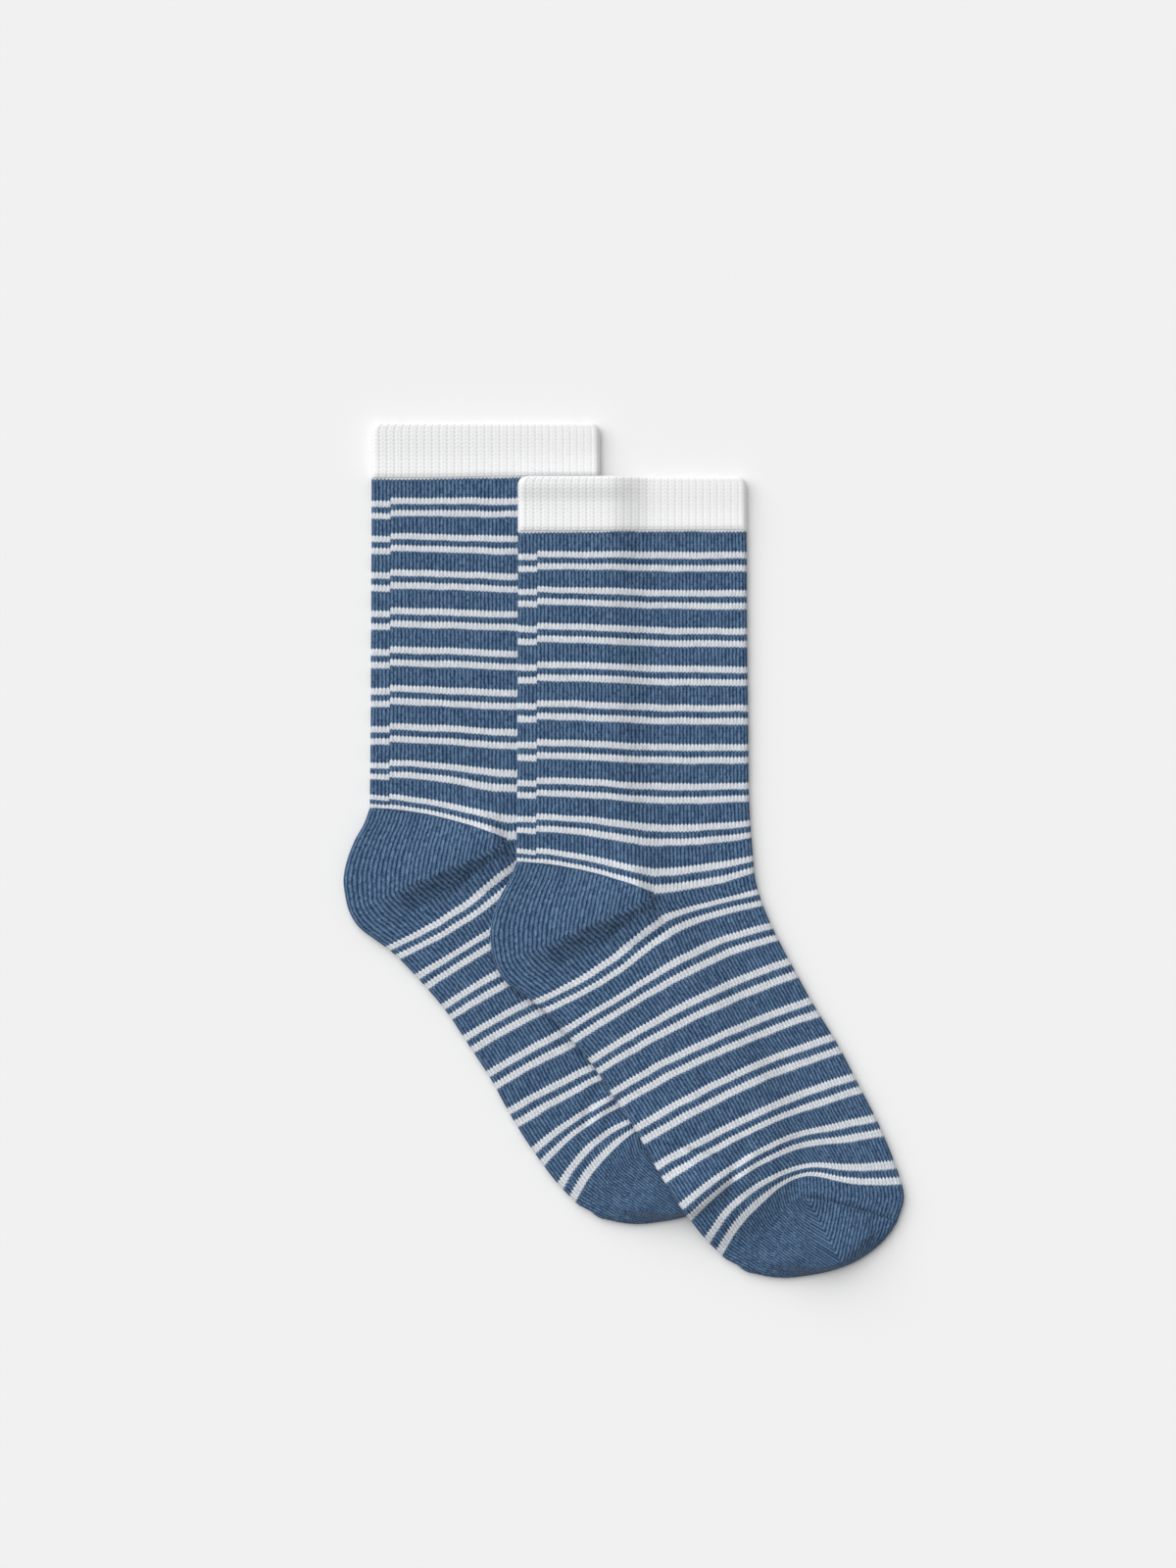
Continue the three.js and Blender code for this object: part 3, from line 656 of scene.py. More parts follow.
def leg_and_foot(name, origin, support):
    shell = Shell(origin, jog=LEG_JOG, last=HEEL_COURSE)
    last = TOE_COURSE - SEAM
    leg = [course_row(shell, support, "leg", c) for c in (-TEETH, *range(HEEL_COURSE + 1))]
    foot = [course_row(shell, support, "foot", c) for c in (*range(HEEL_COURSE, TOE_COURSE), last)]
    foot[0] = share_front(foot[0], leg[-1])
    leg[-1].course[~ring.front] += TEETH
    foot[0].course[~ring.front] += TEETH
    foot[-1].course[:] += TEETH
    courses = (-TEETH, *range(INNER_STEP, HEEL_COURSE + 1, INNER_STEP))
    leg_inside = [course_row(shell, support, "leg", c, False) for c in courses]
    courses = (*range(HEEL_COURSE, TOE_COURSE, INNER_STEP), last)
    foot_inside = [course_row(shell, support, "foot", c, False) for c in courses]
    foot_inside[0] = share_front(foot_inside[0], leg_inside[-1])

    strips(shell, [leg_inside[0], *leg], closed=True)
    strips(shell, leg_inside[::-1], closed=True)
    strips(shell, [back_half(leg[-1]), back_half(leg_inside[-1])])
    shell.jog, shell.last = FOOT_JOG, TOE_COURSE
    strips(shell, [back_half(foot_inside[0]), back_half(foot[0])])
    strips(shell, [*foot, *reversed(foot_inside)], closed=True)
    return shell.build(name)


# %% [markdown]
# ## Heel pocket
#
# The heel is knitted in rows that first get shorter and then longer again, which makes a cup.
# Laid flat, its rows fan out from the gore corner and its wales are arcs round that corner.
# Courses are counted from the nearer of the pocket's two edges, because the knitting turns
# along the line half-way between them.

# %% Heel
HEEL_ROWS = 44
HEEL_TIP = 0.3
HEEL_LEAST_OPENING = 0.4


def counted_from_edges(sections, start):
    """Course numbers along each wale of a pocket, up to its middle row and down again."""
    steps = np.linalg.norm(np.diff(np.stack([xyz for xyz, _ in sections]), axis=0), axis=2)
    gone = np.vstack([np.zeros(steps.shape[1]), np.cumsum(steps, 0)])
    return start + np.minimum(gone, gone[-1] - gone)


def heel_line(share):
    def line(half, t):
        opening = np.linalg.norm(heel_fan(0)(half, t) - heel_fan(1)(half, t), axis=1)
        inset = SEAM / np.maximum(opening, HEEL_LEAST_OPENING)
        return heel_fan(inset + (1 - 2 * inset) * share)(half, t)

    return line


def end_column(rows, end):
    return Row(*(np.array([field[end] for field in fields]) for fields in zip(*rows)))


def heel(name, origin, support):
    shell = Shell(origin)
    faces = []
    for radius, outer in ((BODY_WALL + HOLLOW / 2, True), (HOLLOW / 2, False)):
        sections = [
            section(heel_line(row / HEEL_ROWS), pocket, radius, BODY_WALL, support, tip=HEEL_TIP)
            for row in range(HEEL_ROWS + 1)
        ]
        courses = counted_from_edges(sections, 0)
        faces.append([
            shell.add(xyz, outward * outer, pocket, course)
            for (xyz, outward), course in zip(sections, courses)
        ])
    outside, inside = faces
    strips(shell, [inside[0], *outside, *reversed(inside)])
    shell.strip(end_column(outside, 0), end_column(inside, 0))
    shell.strip(end_column(inside, -1), end_column(outside, -1))
    return shell.build(name)


# %% [markdown]
# ## Toe pocket
#
# The toe starts as a band of courses all round. Then the sole's half goes on alone, in short
# rows that turn round the toe corner, until it meets the instep's half, and the two are linked
# loop by loop. So the pocket is one strip of rows from the sole's half of the last round course
# to its front half, with a slit left between them for the seam. Its first rows follow the tube.

# %% Toe
TOE_ROWS = 168
TOE_INNER_ROWS = 24
TOE_MITRE, TOE_MITRE_WALE = 297.0, 1.68
SEAM_ROWS = (0.2, 0.5)
TOE_SLIT = 0.002
TUBE_TURNS = 0.15


def toe_wales(turns, sections):
    """The pattern's wale at each point of the toe pocket.

    The knitter turned at the mitre, where the wales are widest apart along it. They run straight
    from the first line to the mitre and on to the seam, and cross the sock's edge as they go.
    """
    gone = [np.linalg.norm(np.diff(xyz, axis=0), axis=1) for xyz, _ in sections]
    under = np.array([np.append(0, np.cumsum(steps)) for steps in gone])
    over = under[:, -1:] - under
    flat = (BACK_WALES - ROUND_WALES) / 2
    flat_end = np.argmax(pocket.wale >= WALES - flat)
    widths = over[[0, -1], flat_end] / (flat, flat * FRONT_WALES / BACK_WALES)
    first, last = TOE_OUTLINE[0, 0], TOE_OUTLINE[-1, 0]
    knots = np.array([(first, widths[0]), (TOE_MITRE, TOE_MITRE_WALE), (last, widths[1])])
    width = mitred_reach(first + (last - first) * np.array(turns), knots)[:, None]
    on_top = pocket.turn > -math.pi / 2
    wales = np.where(on_top, WALES - over / width, FRONT_WALES + under / width)
    like_tube = 1 - smooth_step(0, TUBE_TURNS, np.array(turns))[:, None]
    return wales + (pocket.wale - wales[0]) * like_tube


def toe(name, origin, support):
    shell = Shell(origin)
    near_seam = [SEAM_COURSE - back for back in reversed(SEAM_ROWS)]
    band_courses = (*range(TOE_COURSE, SEAM_COURSE), *near_seam, SEAM_COURSE)
    turns = [row / TOE_ROWS for row in range(TOE_ROWS)]
    turns += [1 - back / TOE_ROWS for back in reversed(SEAM_ROWS)] + [1 - TOE_SLIT]
    faces = []
    for outer, courses, fan_turns in (
        (True, band_courses, turns),
        (False, (TOE_COURSE, SEAM_COURSE), [*turns[:: TOE_ROWS // TOE_INNER_ROWS], turns[-1]]),
    ):
        radius = BODY_WALL * outer + HOLLOW / 2
        band = [course_row(shell, support, "foot", c, outer) for c in courses]
        sections = [section(toe_fan(t), pocket, radius, BODY_WALL, support) for t in fan_turns]
        ends = back_half(band[-1])
        off_tube = (ends.xyz - sections[0][0]) * (1, 1, 0)
        sections = [
            (xyz + off_tube * (1 - smooth_step(0, TUBE_TURNS, turn)), outward)
            for (xyz, outward), turn in zip(sections, fan_turns)
        ]
        counted = counted_from_edges(sections, SEAM_COURSE)
        wales = toe_wales(fan_turns, sections)
        fan = [ends]
        for (xyz, outward), course, stitch in zip(sections[1:], counted[1:], wales[1:]):
            row = shell.add(xyz, outward * outer, pocket, course, stitch)
            row.index[[0, -1]] = ends.index[[0, -1]]
            fan.append(row)
        faces.append((band, fan))
    (band, fan), (band_inside, fan_inside) = faces
    strips(shell, [*reversed(band_inside), *band], closed=True)
    strips(shell, [*fan, *reversed(fan_inside)])
    shell.strip(front_half(band[-1]), front_half(band_inside[-1]))
    return shell.build(name)


# %% [markdown]
# ## Cuff
#
# The cuff is a double welt: a tube knitted twice as long and folded over at the mouth, so its
# top edge is a round fold instead of a cut edge. The last rows therefore run round a small
# circle from the outer face to the inner one. The upper layer lifts a little towards the mouth,
# which leaves the mouth open.

# %% Cuff
CUFF_COURSE = 1.15
CUFF_STEP = CUFF_COURSE / 4
CUFF_FOOT, CUFF_EASED = 0.42, 2.0
WELT_RADIUS = CUFF_WALL / 2
WELT_TURNS = (0, 22, 45, 67, 90)
CUFF_INNER_HEIGHTS = (2.0, 6.0, 11.0)


def cuff_row(shell, support, height, inset, rib, outer):
    wall = BODY_WALL + (CUFF_WALL - BODY_WALL) * smooth_step(CUFF_FOOT, CUFF_EASED, height)
    rib = rib * smooth_step(CUFF_FOOT, CUFF_FOOT + CUFF_STEP, height)
    lift = MOUTH_LIFT * smooth_step(MOUTH_LIFT_FROM, CUFF_HEIGHT, height) + RIB * rib
    radius = HOLLOW / 2 + max(0, wall - inset)
    xyz, outward = section(cuff_line(height), cuff_ring, radius, wall, support, lift=lift)
    return shell.add(xyz, outward * rib * outer, cuff_ring, height)


def cuff(name, origin, support):
    shell = Shell(origin)
    straight = CUFF_HEIGHT - WELT_RADIUS
    outside, inside = [], []
    for height in np.arange(CUFF_FOOT, straight - CUFF_STEP / 2, CUFF_STEP):
        outside.append(cuff_row(shell, support, height, 0, 1, True))
    for height in (CUFF_FOOT, *CUFF_INNER_HEIGHTS):
        inside.append(cuff_row(shell, support, height, CUFF_WALL, 0, False))
    for turn in np.radians(WELT_TURNS):
        height = straight + WELT_RADIUS * math.sin(turn)
        closed_in = WELT_RADIUS * (1 - math.cos(turn))
        rib = math.cos(turn)
        outside.append(cuff_row(shell, support, height, closed_in, rib, True))
        inside.append(cuff_row(shell, support, height, CUFF_WALL - closed_in, rib, False))
    inside[-1] = outside[-1]
    strips(shell, [*reversed(outside), *inside], closed=True)
    return shell.build(name)


# %% [markdown]
# ## The eight shells
#
# Both socks come from the same functions. Only the origin and what they lie on differ.

# %% Make the shells
MAKERS = {"leg_and_foot": leg_and_foot, "heel": heel, "toe": toe, "cuff": cuff}
SOCKS = {
    "front": (FRONT_ORIGIN, lies_over_back_sock),
    "back": (FRONT_ORIGIN + BACK_SOCK, lies_flat),
}
shells = {
    f"{side}_{part}": make(f"{side}_{part}_cloth", *SOCKS[side])
    for side in SOCKS
    for part, make in MAKERS.items()
}


# %% [markdown]
# ## Nodes
#
# Geometry trees and materials are both made of nodes. One function adds a node, sets its
# properties and feeds its sockets with numbers or with what other nodes give.


# %% The one helper for nodes
MATH, NOISE = "ShaderNodeMath", "ShaderNodeTexNoise"


def add(tree, kind, feeds=None, **settings):
    node = tree.nodes.new(kind)
    for key, value in settings.items():
        setattr(node, key, value)
    for socket, value in (feeds or {}).items():
        if isinstance(value, bpy.types.Node):
            tree.links.new(value.outputs[0], node.inputs[socket])
        elif isinstance(value, bpy.types.NodeSocket):
            tree.links.new(value, node.inputs[socket])
        else:
            node.inputs[socket].default_value = value
    return node


def linear(code):
    """An sRGB hex colour as the linear colour that Blender works with."""
    parts = [int(code[i : i + 2], 16) / 255 for i in (1, 3, 5)]
    return [p / 12.92 if p <= 0.04045 else ((p + 0.055) / 1.055) ** 2.4 for p in parts] + [1.0]


print("denim blue in linear light", [round(c, 3) for c in linear("#45658C")])

# %% [markdown]
# ## Knit relief
#
# Every wale is a ridge along the sock. The cuff adds ribs, each two wales wide, and rows of small
# eyelets between them where its mock rib leaves loops out. All of that repeats by wale and course
# numbers, so Geometry Nodes cut it into the shells: a Set Position node moves each point into the
# cloth by an amount worked out from its two numbers. Cutting inwards keeps the sock's size and
# keeps its underside level.

# %% Geometry Nodes tree of the relief
MADE_BY_NODES = {
    "Geometry": "NodeSocketGeometry",
    "Wale depth": "NodeSocketFloat",
    "Rib depth": "NodeSocketFloat",
    "Eyelet depth": "NodeSocketFloat",
    "Material": "NodeSocketMaterial",
}


def new_geometry_tree(name, inputs):
    tree = bpy.data.node_groups.new(name, "GeometryNodeTree")
    for label, kind in inputs.items():
        tree.interface.new_socket(name=label, in_out="INPUT", socket_type=kind)
    tree.interface.new_socket(name="Geometry", in_out="OUTPUT", socket_type="NodeSocketGeometry")
    given = add(tree, "NodeGroupInput").outputs
    return tree, {label: given[label] for label in inputs}


def finish_tree(tree, geometry, material):
    real = add(tree, "GeometryNodeRealizeInstances", {0: geometry})
    painted = add(tree, "GeometryNodeSetMaterial", {"Geometry": real, "Material": material})
    add(tree, "NodeGroupOutput", {0: painted})


def rib_pattern(tree, wale, course):
    """Valleys between wales, grooves between ribs, and where and how strong the eyelets are."""
    # Between two wales the valley is 1, on the wale it is 0
    round_wale = add(tree, MATH, {0: wale, 1: 2 * math.pi}, operation="MULTIPLY")
    wale_wave = add(tree, MATH, {0: round_wale}, operation="COSINE")
    valley = add(tree, MATH, {0: wale_wave, 1: 0.5, 2: 0.5}, operation="MULTIPLY_ADD")
    # Every second valley is the groove between two ribs
    round_rib = add(tree, MATH, {0: wale, 1: math.pi}, operation="MULTIPLY")
    rib_wave = add(tree, MATH, {0: round_rib}, operation="COSINE")
    groove = add(tree, MATH, {0: rib_wave, 1: 0.5, 2: 0.5}, operation="MULTIPLY_ADD")
    # Eyelets stand in the valleys, one a course, and are deeper in the grooves
    turns = {0: course, 1: 2 * math.pi / CUFF_COURSE, 2: rib_wave}
    course_turn = add(tree, MATH, turns, operation="MULTIPLY_ADD")
    course_wave = add(tree, MATH, {0: course_turn}, operation="COSINE")
    between = add(tree, MATH, {0: course_wave, 1: 0.5, 2: 0.5}, operation="MULTIPLY_ADD")
    spot = add(tree, MATH, {0: valley, 1: between}, operation="MULTIPLY")
    strong = add(tree, MATH, {0: groove, 1: 0.4, 2: 0.6}, operation="MULTIPLY_ADD")
    return valley, groove, spot, strong


def knit_relief_tree():
    tree, given = new_geometry_tree("knit relief", MADE_BY_NODES)
    wale = add(tree, "GeometryNodeInputNamedAttribute", {"Name": "wale"}, data_type="FLOAT")
    course = add(tree, "GeometryNodeInputNamedAttribute", {"Name": "course"}, data_type="FLOAT")
    outward = add(
        tree, "GeometryNodeInputNamedAttribute", {"Name": "outward"}, data_type="FLOAT_VECTOR"
    )
    valley, groove, spot, strong = rib_pattern(tree, wale, course)
    eyelet = add(tree, MATH, {0: spot, 1: strong}, operation="MULTIPLY")
    depth = add(tree, MATH, {0: valley, 1: given["Wale depth"]}, operation="MULTIPLY")
    depth = add(
        tree, MATH, {0: groove, 1: given["Rib depth"], 2: depth}, operation="MULTIPLY_ADD"
    )
    depth = add(
        tree, MATH, {0: eyelet, 1: given["Eyelet depth"], 2: depth}, operation="MULTIPLY_ADD"
    )
    inward = add(tree, MATH, {0: depth, 1: -1.0}, operation="MULTIPLY")
    move = add(tree, "ShaderNodeVectorMath", {0: outward, "Scale": inward}, operation="SCALE")
    cut = add(tree, "GeometryNodeSetPosition", {"Geometry": given["Geometry"], "Offset": move})
    finish_tree(tree, cut, given["Material"])
    return tree


def apply_tree(piece, tree, values):
    """Runs a tree on a piece and keeps the result as the piece's plain mesh."""
    modifier = piece.modifiers.new(tree.name, "NODES")
    modifier.node_group = tree
    for item in tree.interface.items_tree:
        if item.in_out == "INPUT" and item.name in values:
            modifier[item.identifier] = values[item.name]
    scene_graph = bpy.context.evaluated_depsgraph_get()
    mesh = bpy.data.meshes.new_from_object(
        piece.evaluated_get(scene_graph), preserve_all_data_layers=True, depsgraph=scene_graph
    )
    piece.modifiers.clear()
    piece.data = mesh
    print(piece.name, len(mesh.polygons), "faces after", tree.name)


knit_relief = knit_relief_tree()
print(len(knit_relief.nodes), "nodes in the relief tree")

# %% [markdown]
# ## Striped jersey
#
# Plain single jersey of combed cotton, dyed denim blue, with two pairs of white courses in every
# twelve. Each loop shows as two slanting legs of yarn, so where the colour changes the edge is a
# zigzag with one tooth a wale. The stitch map gives the wale as its first number and the course
# as its second. Everything comes from these two: which stripe, which leg of which loop, and how
# deep in the valley between wales a point is. The colour holds painted light: the valleys between
# wales are painted darker as shade, and the high legs of yarn lighter as a highlight. Yarn is matt
# and slightly hairy, which asks for high roughness and a soft sheen. One stitch is 1.1 by 1.0 mm,
# and a fibre shows as about 0.3 mm.

# %% Jersey material
STRIPE_REPEAT, STRIPE_START = 12, 6
TOOTH = 0.55
FIBRES_PER_METRE = 3300
SWAY_PER_METRE = 120
BLUE_YARN = (
    (0.0, "#08203E"), (0.25, "#1D3654"), (0.5, "#3C5674"), (0.75, "#5A7592"), (1.0, "#809BB8"),
)
WHITE_YARN = ((0.0, "#A0A7B2"), (0.5, "#CACED4"), (1.0, "#EAEDF1"))


def set_ramp(ramp, stops):
    elements = ramp.color_ramp.elements
    while len(elements) < len(stops):
        elements.new(0.5)
    for element, (place, code) in zip(elements, stops):
        element.position = place
        element.color = linear(code)


def new_cotton(name, sheen):
    """A matt cotton, with the wale, the course and the fibres that its knit pattern is made of."""
    material = bpy.data.materials.new(name)
    material.use_nodes = True
    tree = material.node_tree
    shader = tree.nodes["Principled BSDF"]
    shader.inputs["Roughness"].default_value = 0.92
    shader.inputs["Sheen Weight"].default_value = sheen
    shader.inputs["Sheen Roughness"].default_value = 0.5
    shader.inputs["Specular IOR Level"].default_value = 0.2
    stitch = add(tree, "ShaderNodeUVMap", uv_map=STITCH_MAP)
    split = add(tree, "ShaderNodeSeparateXYZ", {0: stitch})
    place = add(tree, "ShaderNodeTexCoord").outputs["Object"]
    fibre = add(tree, NOISE, {"Vector": place, "Scale": FIBRES_PER_METRE, "Detail": 2.0})
    return material, shader, split.outputs[0], split.outputs[1], place, fibre


def jersey(name, striped):
    material, shader, wale, course, place, fibre = new_cotton(name, sheen=0.12)
    tree = material.node_tree
    # Courses sway by a part of a stitch
    sway = add(tree, NOISE, {"Vector": place, "Scale": SWAY_PER_METRE, "Detail": 1.0})
    swayed = add(tree, MATH, {0: sway, 1: 0.7, 2: -0.35}, operation="MULTIPLY_ADD")
    course = add(tree, MATH, {0: course, 1: swayed}, operation="ADD")
    # 0 between two wales and 0.5 in the middle of one
    to_middle = add(tree, MATH, {0: wale, 1: 0.5}, operation="PINGPONG")
    slanted = add(
        tree, MATH, {0: to_middle, 1: 2 * TOOTH, 2: course}, operation="MULTIPLY_ADD"
    )
    # The two legs of a loop, and the waves of loops along a wale
    leg = add(tree, MATH, {0: to_middle, 1: 0.25}, operation="PINGPONG")
    leg = add(tree, MATH, {0: leg, 1: 4.0}, operation="MULTIPLY")
    loop_turn = add(tree, MATH, {0: slanted, 1: 2 * math.pi}, operation="MULTIPLY")
    loop = add(tree, MATH, {0: loop_turn}, operation="COSINE")
    loop = add(tree, MATH, {0: loop, 1: 0.3, 2: 0.7}, operation="MULTIPLY_ADD")
    yarn = add(tree, MATH, {0: leg, 1: loop}, operation="MULTIPLY")
    # Each leg of each loop takes the light a little differently
    twice = add(tree, MATH, {0: wale, 1: 2.0}, operation="MULTIPLY")
    column = add(tree, MATH, {0: twice}, operation="FLOOR")
    row = add(tree, MATH, {0: slanted}, operation="FLOOR")
    cell = add(tree, "ShaderNodeCombineXYZ", {0: column, 1: row})
    chance = add(tree, "ShaderNodeTexWhiteNoise", {"Vector": cell}, noise_dimensions="2D")
    # Painted shading: the valleys between wales are painted darker as shade, and the high legs of
    # yarn lighter as a highlight. The chance for each leg and the fibres add tone that differs at
    # random
    round_wale = add(tree, MATH, {0: wale, 1: 2 * math.pi}, operation="MULTIPLY")
    wale_wave = add(tree, MATH, {0: round_wale}, operation="COSINE")
    tone_and_painted_shading = add(tree, MATH, {0: wale_wave, 1: -0.21, 2: -0.11}, operation="MULTIPLY_ADD")
    tone_and_painted_shading = add(tree, MATH, {0: yarn, 1: 0.2, 2: tone_and_painted_shading}, operation="MULTIPLY_ADD")
    tone_and_painted_shading = add(tree, MATH, {0: chance, 1: 0.28, 2: tone_and_painted_shading}, operation="MULTIPLY_ADD")
    tone_and_painted_shading = add(tree, MATH, {0: fibre, 1: 0.8, 2: tone_and_painted_shading}, operation="MULTIPLY_ADD")
    blue = add(tree, "ShaderNodeValToRGB", {0: tone_and_painted_shading})
    set_ramp(blue, BLUE_YARN)
    colour = blue.outputs[0]
    if striped:
        white = add(tree, "ShaderNodeValToRGB", {0: tone_and_painted_shading})
        set_ramp(white, WHITE_YARN)
        # The first loops hang in the cuff and are as white as it is
        in_cuff = add(
            tree, "ShaderNodeMapRange",
            {"Value": course, "From Min": 0.5, "From Max": 0.9, "To Min": 0.4, "To Max": 0.0},
        )
        whiter = add(tree, MATH, {0: tone_and_painted_shading, 1: in_cuff}, operation="ADD")
        tree.links.new(whiter.outputs[0], white.inputs[0])
        start = -STRIPE_START - TOOTH / 2
        from_start = add(tree, MATH, {0: slanted, 1: start}, operation="ADD")
        in_repeat = add(
            tree, MATH, {0: from_start, 1: STRIPE_REPEAT}, operation="FLOORED_MODULO"
        )
        from_middle = add(tree, MATH, {0: in_repeat, 1: 3.0}, operation="SUBTRACT")
        either_side = add(tree, MATH, {0: from_middle}, operation="ABSOLUTE")
        off_stripe = add(tree, MATH, {0: either_side, 1: 2.0}, operation="SUBTRACT")
        off_stripe = add(tree, MATH, {0: off_stripe}, operation="ABSOLUTE")
        is_white = add(
            tree, "ShaderNodeMapRange",
            {"Value": off_stripe, "From Min": 0.92, "From Max": 1.08, "To Min": 1.0, "To Max": 0.0},
        )
        colour = add(tree, "ShaderNodeMix", {0: is_white, 6: blue, 7: white}, data_type="RGBA")
        colour = colour.outputs[2]
    tree.links.new(colour, shader.inputs["Base Color"])
    height = add(tree, MATH, {0: fibre, 1: 0.3, 2: yarn}, operation="MULTIPLY_ADD")
    bump = add(tree, "ShaderNodeBump", {"Height": height, "Distance": 0.0002, "Strength": 0.7})
    tree.links.new(bump.outputs[0], shader.inputs["Normal"])
    return material


striped_jersey = jersey("striped_single_jersey_cotton", striped=True)
plain_jersey = jersey("plain_single_jersey_cotton", striped=False)
print("materials", striped_jersey.name, plain_jersey.name)

# %% [markdown]
# ## Mock rib
#
# The cuff is bleached white cotton in mock rib: loops left out now and then leave small eyelets
# in every valley, one a course, and deeper ones in the grooves between the ribs. Their shade is
# painted into the colour as grey in the valleys, the grooves and the eyelets, kept pale because
# white cotton scatters light inside the cloth.

# %% Mock rib material
RIB_YARN = ((0.0, "#B9BBC1"), (0.35, "#DCDDE0"), (0.65, "#ECECEC"), (1.0, "#F7F7F5"))


def mock_rib(name):
    material, shader, wale, course, place, fibre = new_cotton(name, sheen=0.1)
    tree = material.node_tree
    valley, groove, spot, strong = rib_pattern(tree, wale, course)
    # The loops stand closer over the instep's half, which closes the eyelets there
    from_instep = {0: wale, 1: 2 * math.pi / WALES, 2: -math.pi * FRONT_WALES / WALES}
    round_tube = add(tree, MATH, from_instep, operation="MULTIPLY_ADD")
    instep = add(tree, MATH, {0: round_tube}, operation="COSINE")
    opened = add(tree, MATH, {0: instep, 1: -0.3, 2: 0.7}, operation="MULTIPLY_ADD")
    strong = add(tree, MATH, {0: strong, 1: opened}, operation="MULTIPLY")
    eyelet = add(tree, MATH, {0: spot, 1: strong}, operation="MULTIPLY")
    tone_and_painted_shading = add(tree, MATH, {0: fibre, 1: 0.4, 2: 0.5}, operation="MULTIPLY_ADD")
    # Painted shade: the valleys, the grooves between ribs and the eyelets are painted grey
    tone_and_painted_shading = add(tree, MATH, {0: valley, 1: -0.07, 2: tone_and_painted_shading}, operation="MULTIPLY_ADD")
    tone_and_painted_shading = add(tree, MATH, {0: groove, 1: -0.07, 2: tone_and_painted_shading}, operation="MULTIPLY_ADD")
    tone_and_painted_shading = add(tree, MATH, {0: eyelet, 1: -0.3, 2: tone_and_painted_shading}, operation="MULTIPLY_ADD")
    colour = add(tree, "ShaderNodeValToRGB", {0: tone_and_painted_shading})
    set_ramp(colour, RIB_YARN)
    tree.links.new(colour.outputs[0], shader.inputs["Base Color"])
    sunk = add(tree, MATH, {0: eyelet, 1: -0.6, 2: fibre}, operation="MULTIPLY_ADD")
    bump = add(tree, "ShaderNodeBump", {"Height": sunk, "Distance": 0.0002, "Strength": 0.5})
    tree.links.new(bump.outputs[0], shader.inputs["Normal"])
    return material


ribbed_cotton = mock_rib("mock_rib_bleached_cotton")
print("material", ribbed_cotton.name)

# %% Cut the relief and give each piece its material
RELIEF = {
    "leg_and_foot": (0.3, 0.0, 0.0, striped_jersey),
    "heel": (0.3, 0.0, 0.0, plain_jersey),
    "toe": (0.3, 0.0, 0.0, plain_jersey),
    "cuff": (0.04, 0.06, 0.06, ribbed_cotton),
}
for node, piece in shells.items():
    wale_depth, rib_depth, eyelet_depth, material = RELIEF[node.split("_", 1)[1]]
    apply_tree(piece, knit_relief, {
        "Wale depth": wale_depth * MM,
        "Rib depth": rib_depth * MM,
        "Eyelet depth": eyelet_depth * MM,
        "Material": material,
    })

# %% [markdown]
# ## Toe seam
#
# Linking joins the toe loop by loop, which leaves a row of tiny stitches sunk in a groove. One
# stitch is a half ring of yarn over the groove. Geometry Nodes turn the groove's line into a
# curve, space points along it a wale apart, and stand a stitch on each.

# %% Linking stitches
STITCH_SPACING, STITCH_RADIUS, YARN_RADIUS = 1.1, 0.34, 0.13


def linking_tree():
    tree, given = new_geometry_tree("linking stitches", {
        "Geometry": "NodeSocketGeometry",
        "Spacing": "NodeSocketFloat",
        "Stitch radius": "NodeSocketFloat",
        "Yarn radius": "NodeSocketFloat",
        "Material": "NodeSocketMaterial",
    })
    line = add(tree, "GeometryNodeMeshToCurve", {0: given["Geometry"]})
    spaced = add(
        tree, "GeometryNodeResampleCurve",
        {"Curve": line, "Length": given["Spacing"]}, mode="LENGTH",
    )
    arch = add(
        tree, "GeometryNodeCurveArc",
        {"Resolution": 7, "Radius": given["Stitch radius"], "Sweep Angle": math.pi},
    )
    yarn = add(
        tree, "GeometryNodeCurvePrimitiveCircle",
        {"Resolution": 6, "Radius": given["Yarn radius"]},
    )
    stitch = add(
        tree, "GeometryNodeCurveToMesh",
        {"Curve": arch, "Profile Curve": yarn, "Fill Caps": True},
    )
    along = add(tree, "GeometryNodeInputTangent")
    outward = add(
        tree, "GeometryNodeInputNamedAttribute", {"Name": "outward"}, data_type="FLOAT_VECTOR"
    )
    across = add(tree, "FunctionNodeAlignRotationToVector", {"Vector": along}, axis="Z")
    upright = add(
        tree, "FunctionNodeAlignRotationToVector",
        {"Rotation": across, "Vector": outward}, axis="Y", pivot_axis="Z",
    )
    row = add(
        tree, "GeometryNodeInstanceOnPoints",
        {"Points": spaced, "Instance": stitch, "Rotation": upright},
    )
    finish_tree(tree, row, given["Material"])
    return tree


def seam_line(name, origin, support):
    """The bottom of the toe's groove, as a line of points from the toe corner round the edge."""
    xyz, outward = section(toe_start, ring, BODY_WALL + HOLLOW / 2, BODY_WALL, support)
    count = BACK_FIRST + 1
    mesh = bpy.data.meshes.new(name)
    sunk = outward[:count] * (STITCH_RADIUS + YARN_RADIUS)
    placed = (xyz[:count] - sunk + [*origin, 0]) * MM
    mesh.from_pydata(placed.tolist(), [(i, i + 1) for i in range(count - 1)], [])
    values = outward[:count].astype(np.float32).ravel()
    mesh.attributes.new("outward", "FLOAT_VECTOR", "POINT").data.foreach_set("vector", values)
    piece = bpy.data.objects.new(name, mesh)
    bpy.context.scene.collection.objects.link(piece)
    return piece


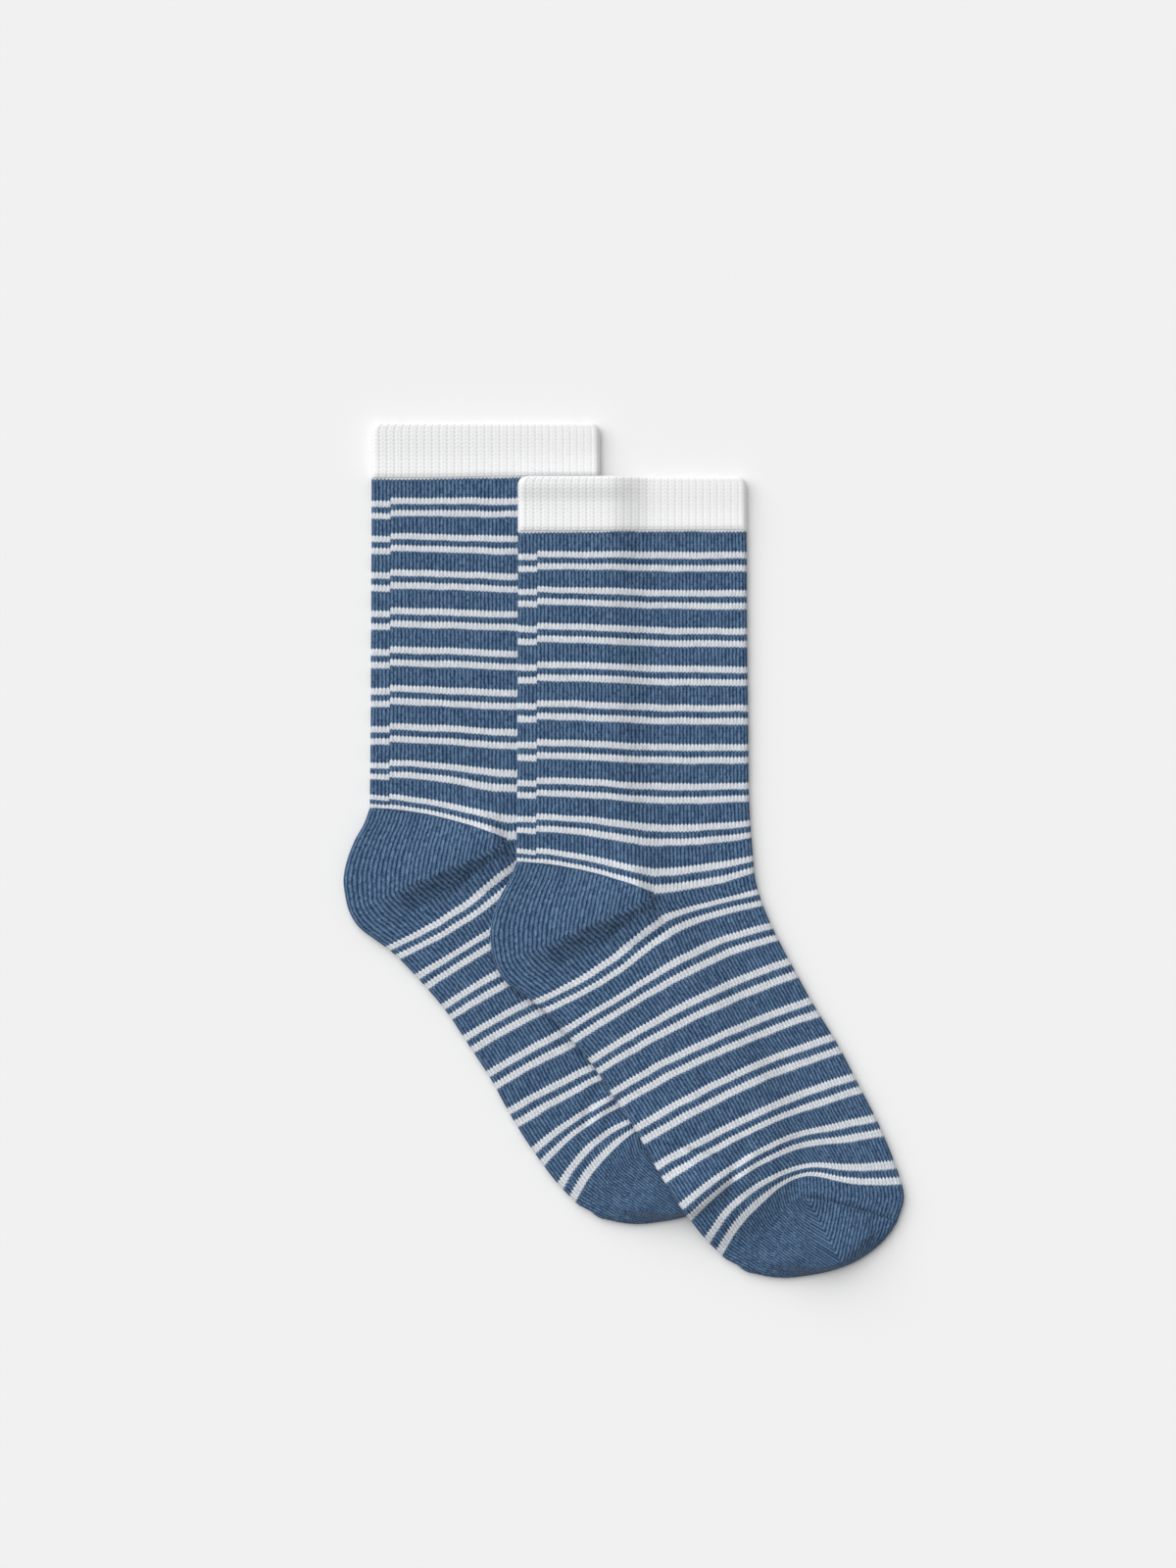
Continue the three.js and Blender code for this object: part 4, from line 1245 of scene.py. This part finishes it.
linking = linking_tree()
seams = {}
for side, place in SOCKS.items():
    seams[side] = seam_line(f"{side}_toe_linking", *place)
    apply_tree(seams[side], linking, {
        "Spacing": STITCH_SPACING * MM,
        "Stitch radius": STITCH_RADIUS * MM,
        "Yarn radius": YARN_RADIUS * MM,
        "Material": plain_jersey,
    })

# %% [markdown]
# ## Floor, light and camera
#
# The pair lies on a plain white table. A large soft lamp from the upper left and a bright, even
# room give the very soft shadow along the right and lower edges. The camera looks straight down.
# At 100 mm on a 36 mm high frame it stands 1.33 m above the cloth, so that one pixel of the
# 1600 high picture is 0.3 mm.

# %% Studio
PHOTO_CENTRE = np.array([-20.4, 33.6])
PIXEL, PHOTO_HEIGHT, LENS, SENSOR = 0.3, 1600, 100.0, 36.0
CLOTH_HEIGHT = 4.0
LAMP_FROM, LAMP_STRENGTH, LAMP_DISC = (-0.65, 0.7, 0.97), 3.05, 75.0
ROOM_STRENGTH = 0.385


def table_top():
    mesh = bpy.data.meshes.new("table_top")
    reach = 1.5
    corners = [(-reach, -reach, 0), (reach, -reach, 0), (reach, reach, 0), (-reach, reach, 0)]
    mesh.from_pydata(corners, [], [(0, 1, 2, 3)])
    table = bpy.data.objects.new("table_top", mesh)
    bpy.context.scene.collection.objects.link(table)
    material = bpy.data.materials.new("matt_white_board")
    material.use_nodes = True
    shader = material.node_tree.nodes["Principled BSDF"]
    shader.inputs["Base Color"].default_value = linear("#E9E9E9")
    shader.inputs["Roughness"].default_value = 0.9
    shader.inputs["Specular IOR Level"].default_value = 0.1
    mesh.materials.append(material)
    return table


def soft_lamp():
    """A sun with a wide disc: even over the whole table, with soft shadows."""
    lamp = bpy.data.lights.new("soft_lamp", "SUN")
    lamp.energy = LAMP_STRENGTH
    lamp.angle = math.radians(LAMP_DISC)
    holder = bpy.data.objects.new("soft_lamp", lamp)
    direction = Vector((LAMP_FROM[0], LAMP_FROM[1], LAMP_FROM[2]))
    holder.rotation_euler = direction.to_track_quat("Z", "Y").to_euler()
    holder.location = direction
    bpy.context.scene.collection.objects.link(holder)
    return holder


def look_down():
    camera = bpy.data.cameras.new("overhead_camera")
    camera.lens = LENS
    camera.sensor_width = SENSOR
    camera.sensor_fit = "AUTO"
    holder = bpy.data.objects.new("overhead_camera", camera)
    distance = PIXEL * PHOTO_HEIGHT * LENS / SENSOR
    x, y = FRONT_ORIGIN + PHOTO_CENTRE
    holder.location = (x * MM, y * MM, (distance + CLOTH_HEIGHT) * MM)
    bpy.context.scene.collection.objects.link(holder)
    bpy.context.scene.camera = holder
    return holder


def even_room(strength):
    world = bpy.data.worlds.new("even_room")
    world.use_nodes = True
    background = world.node_tree.nodes["Background"]
    background.inputs["Color"].default_value = linear("#FFFFFF")
    background.inputs["Strength"].default_value = strength
    bpy.context.scene.world = world


table = table_top()
soft_lamp()
even_room(ROOM_STRENGTH)
camera = look_down()
bpy.context.scene.view_settings.view_transform = "Standard"
print("camera at", [round(v, 4) for v in camera.location])

# %% [markdown]
# ## What the pieces are
#
# Each shell stands for its node: the node's own part from the construction model is hidden, and
# the shell, like each toe's linking stitches, is hung under the root body. The back sock lies on
# the surface and the front sock on the back one.

for node, piece in shells.items():
    side, part = node.split("_", 1)
    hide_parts(node)
    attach(piece, "root")
for seam in seams.values():
    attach(seam, "root")
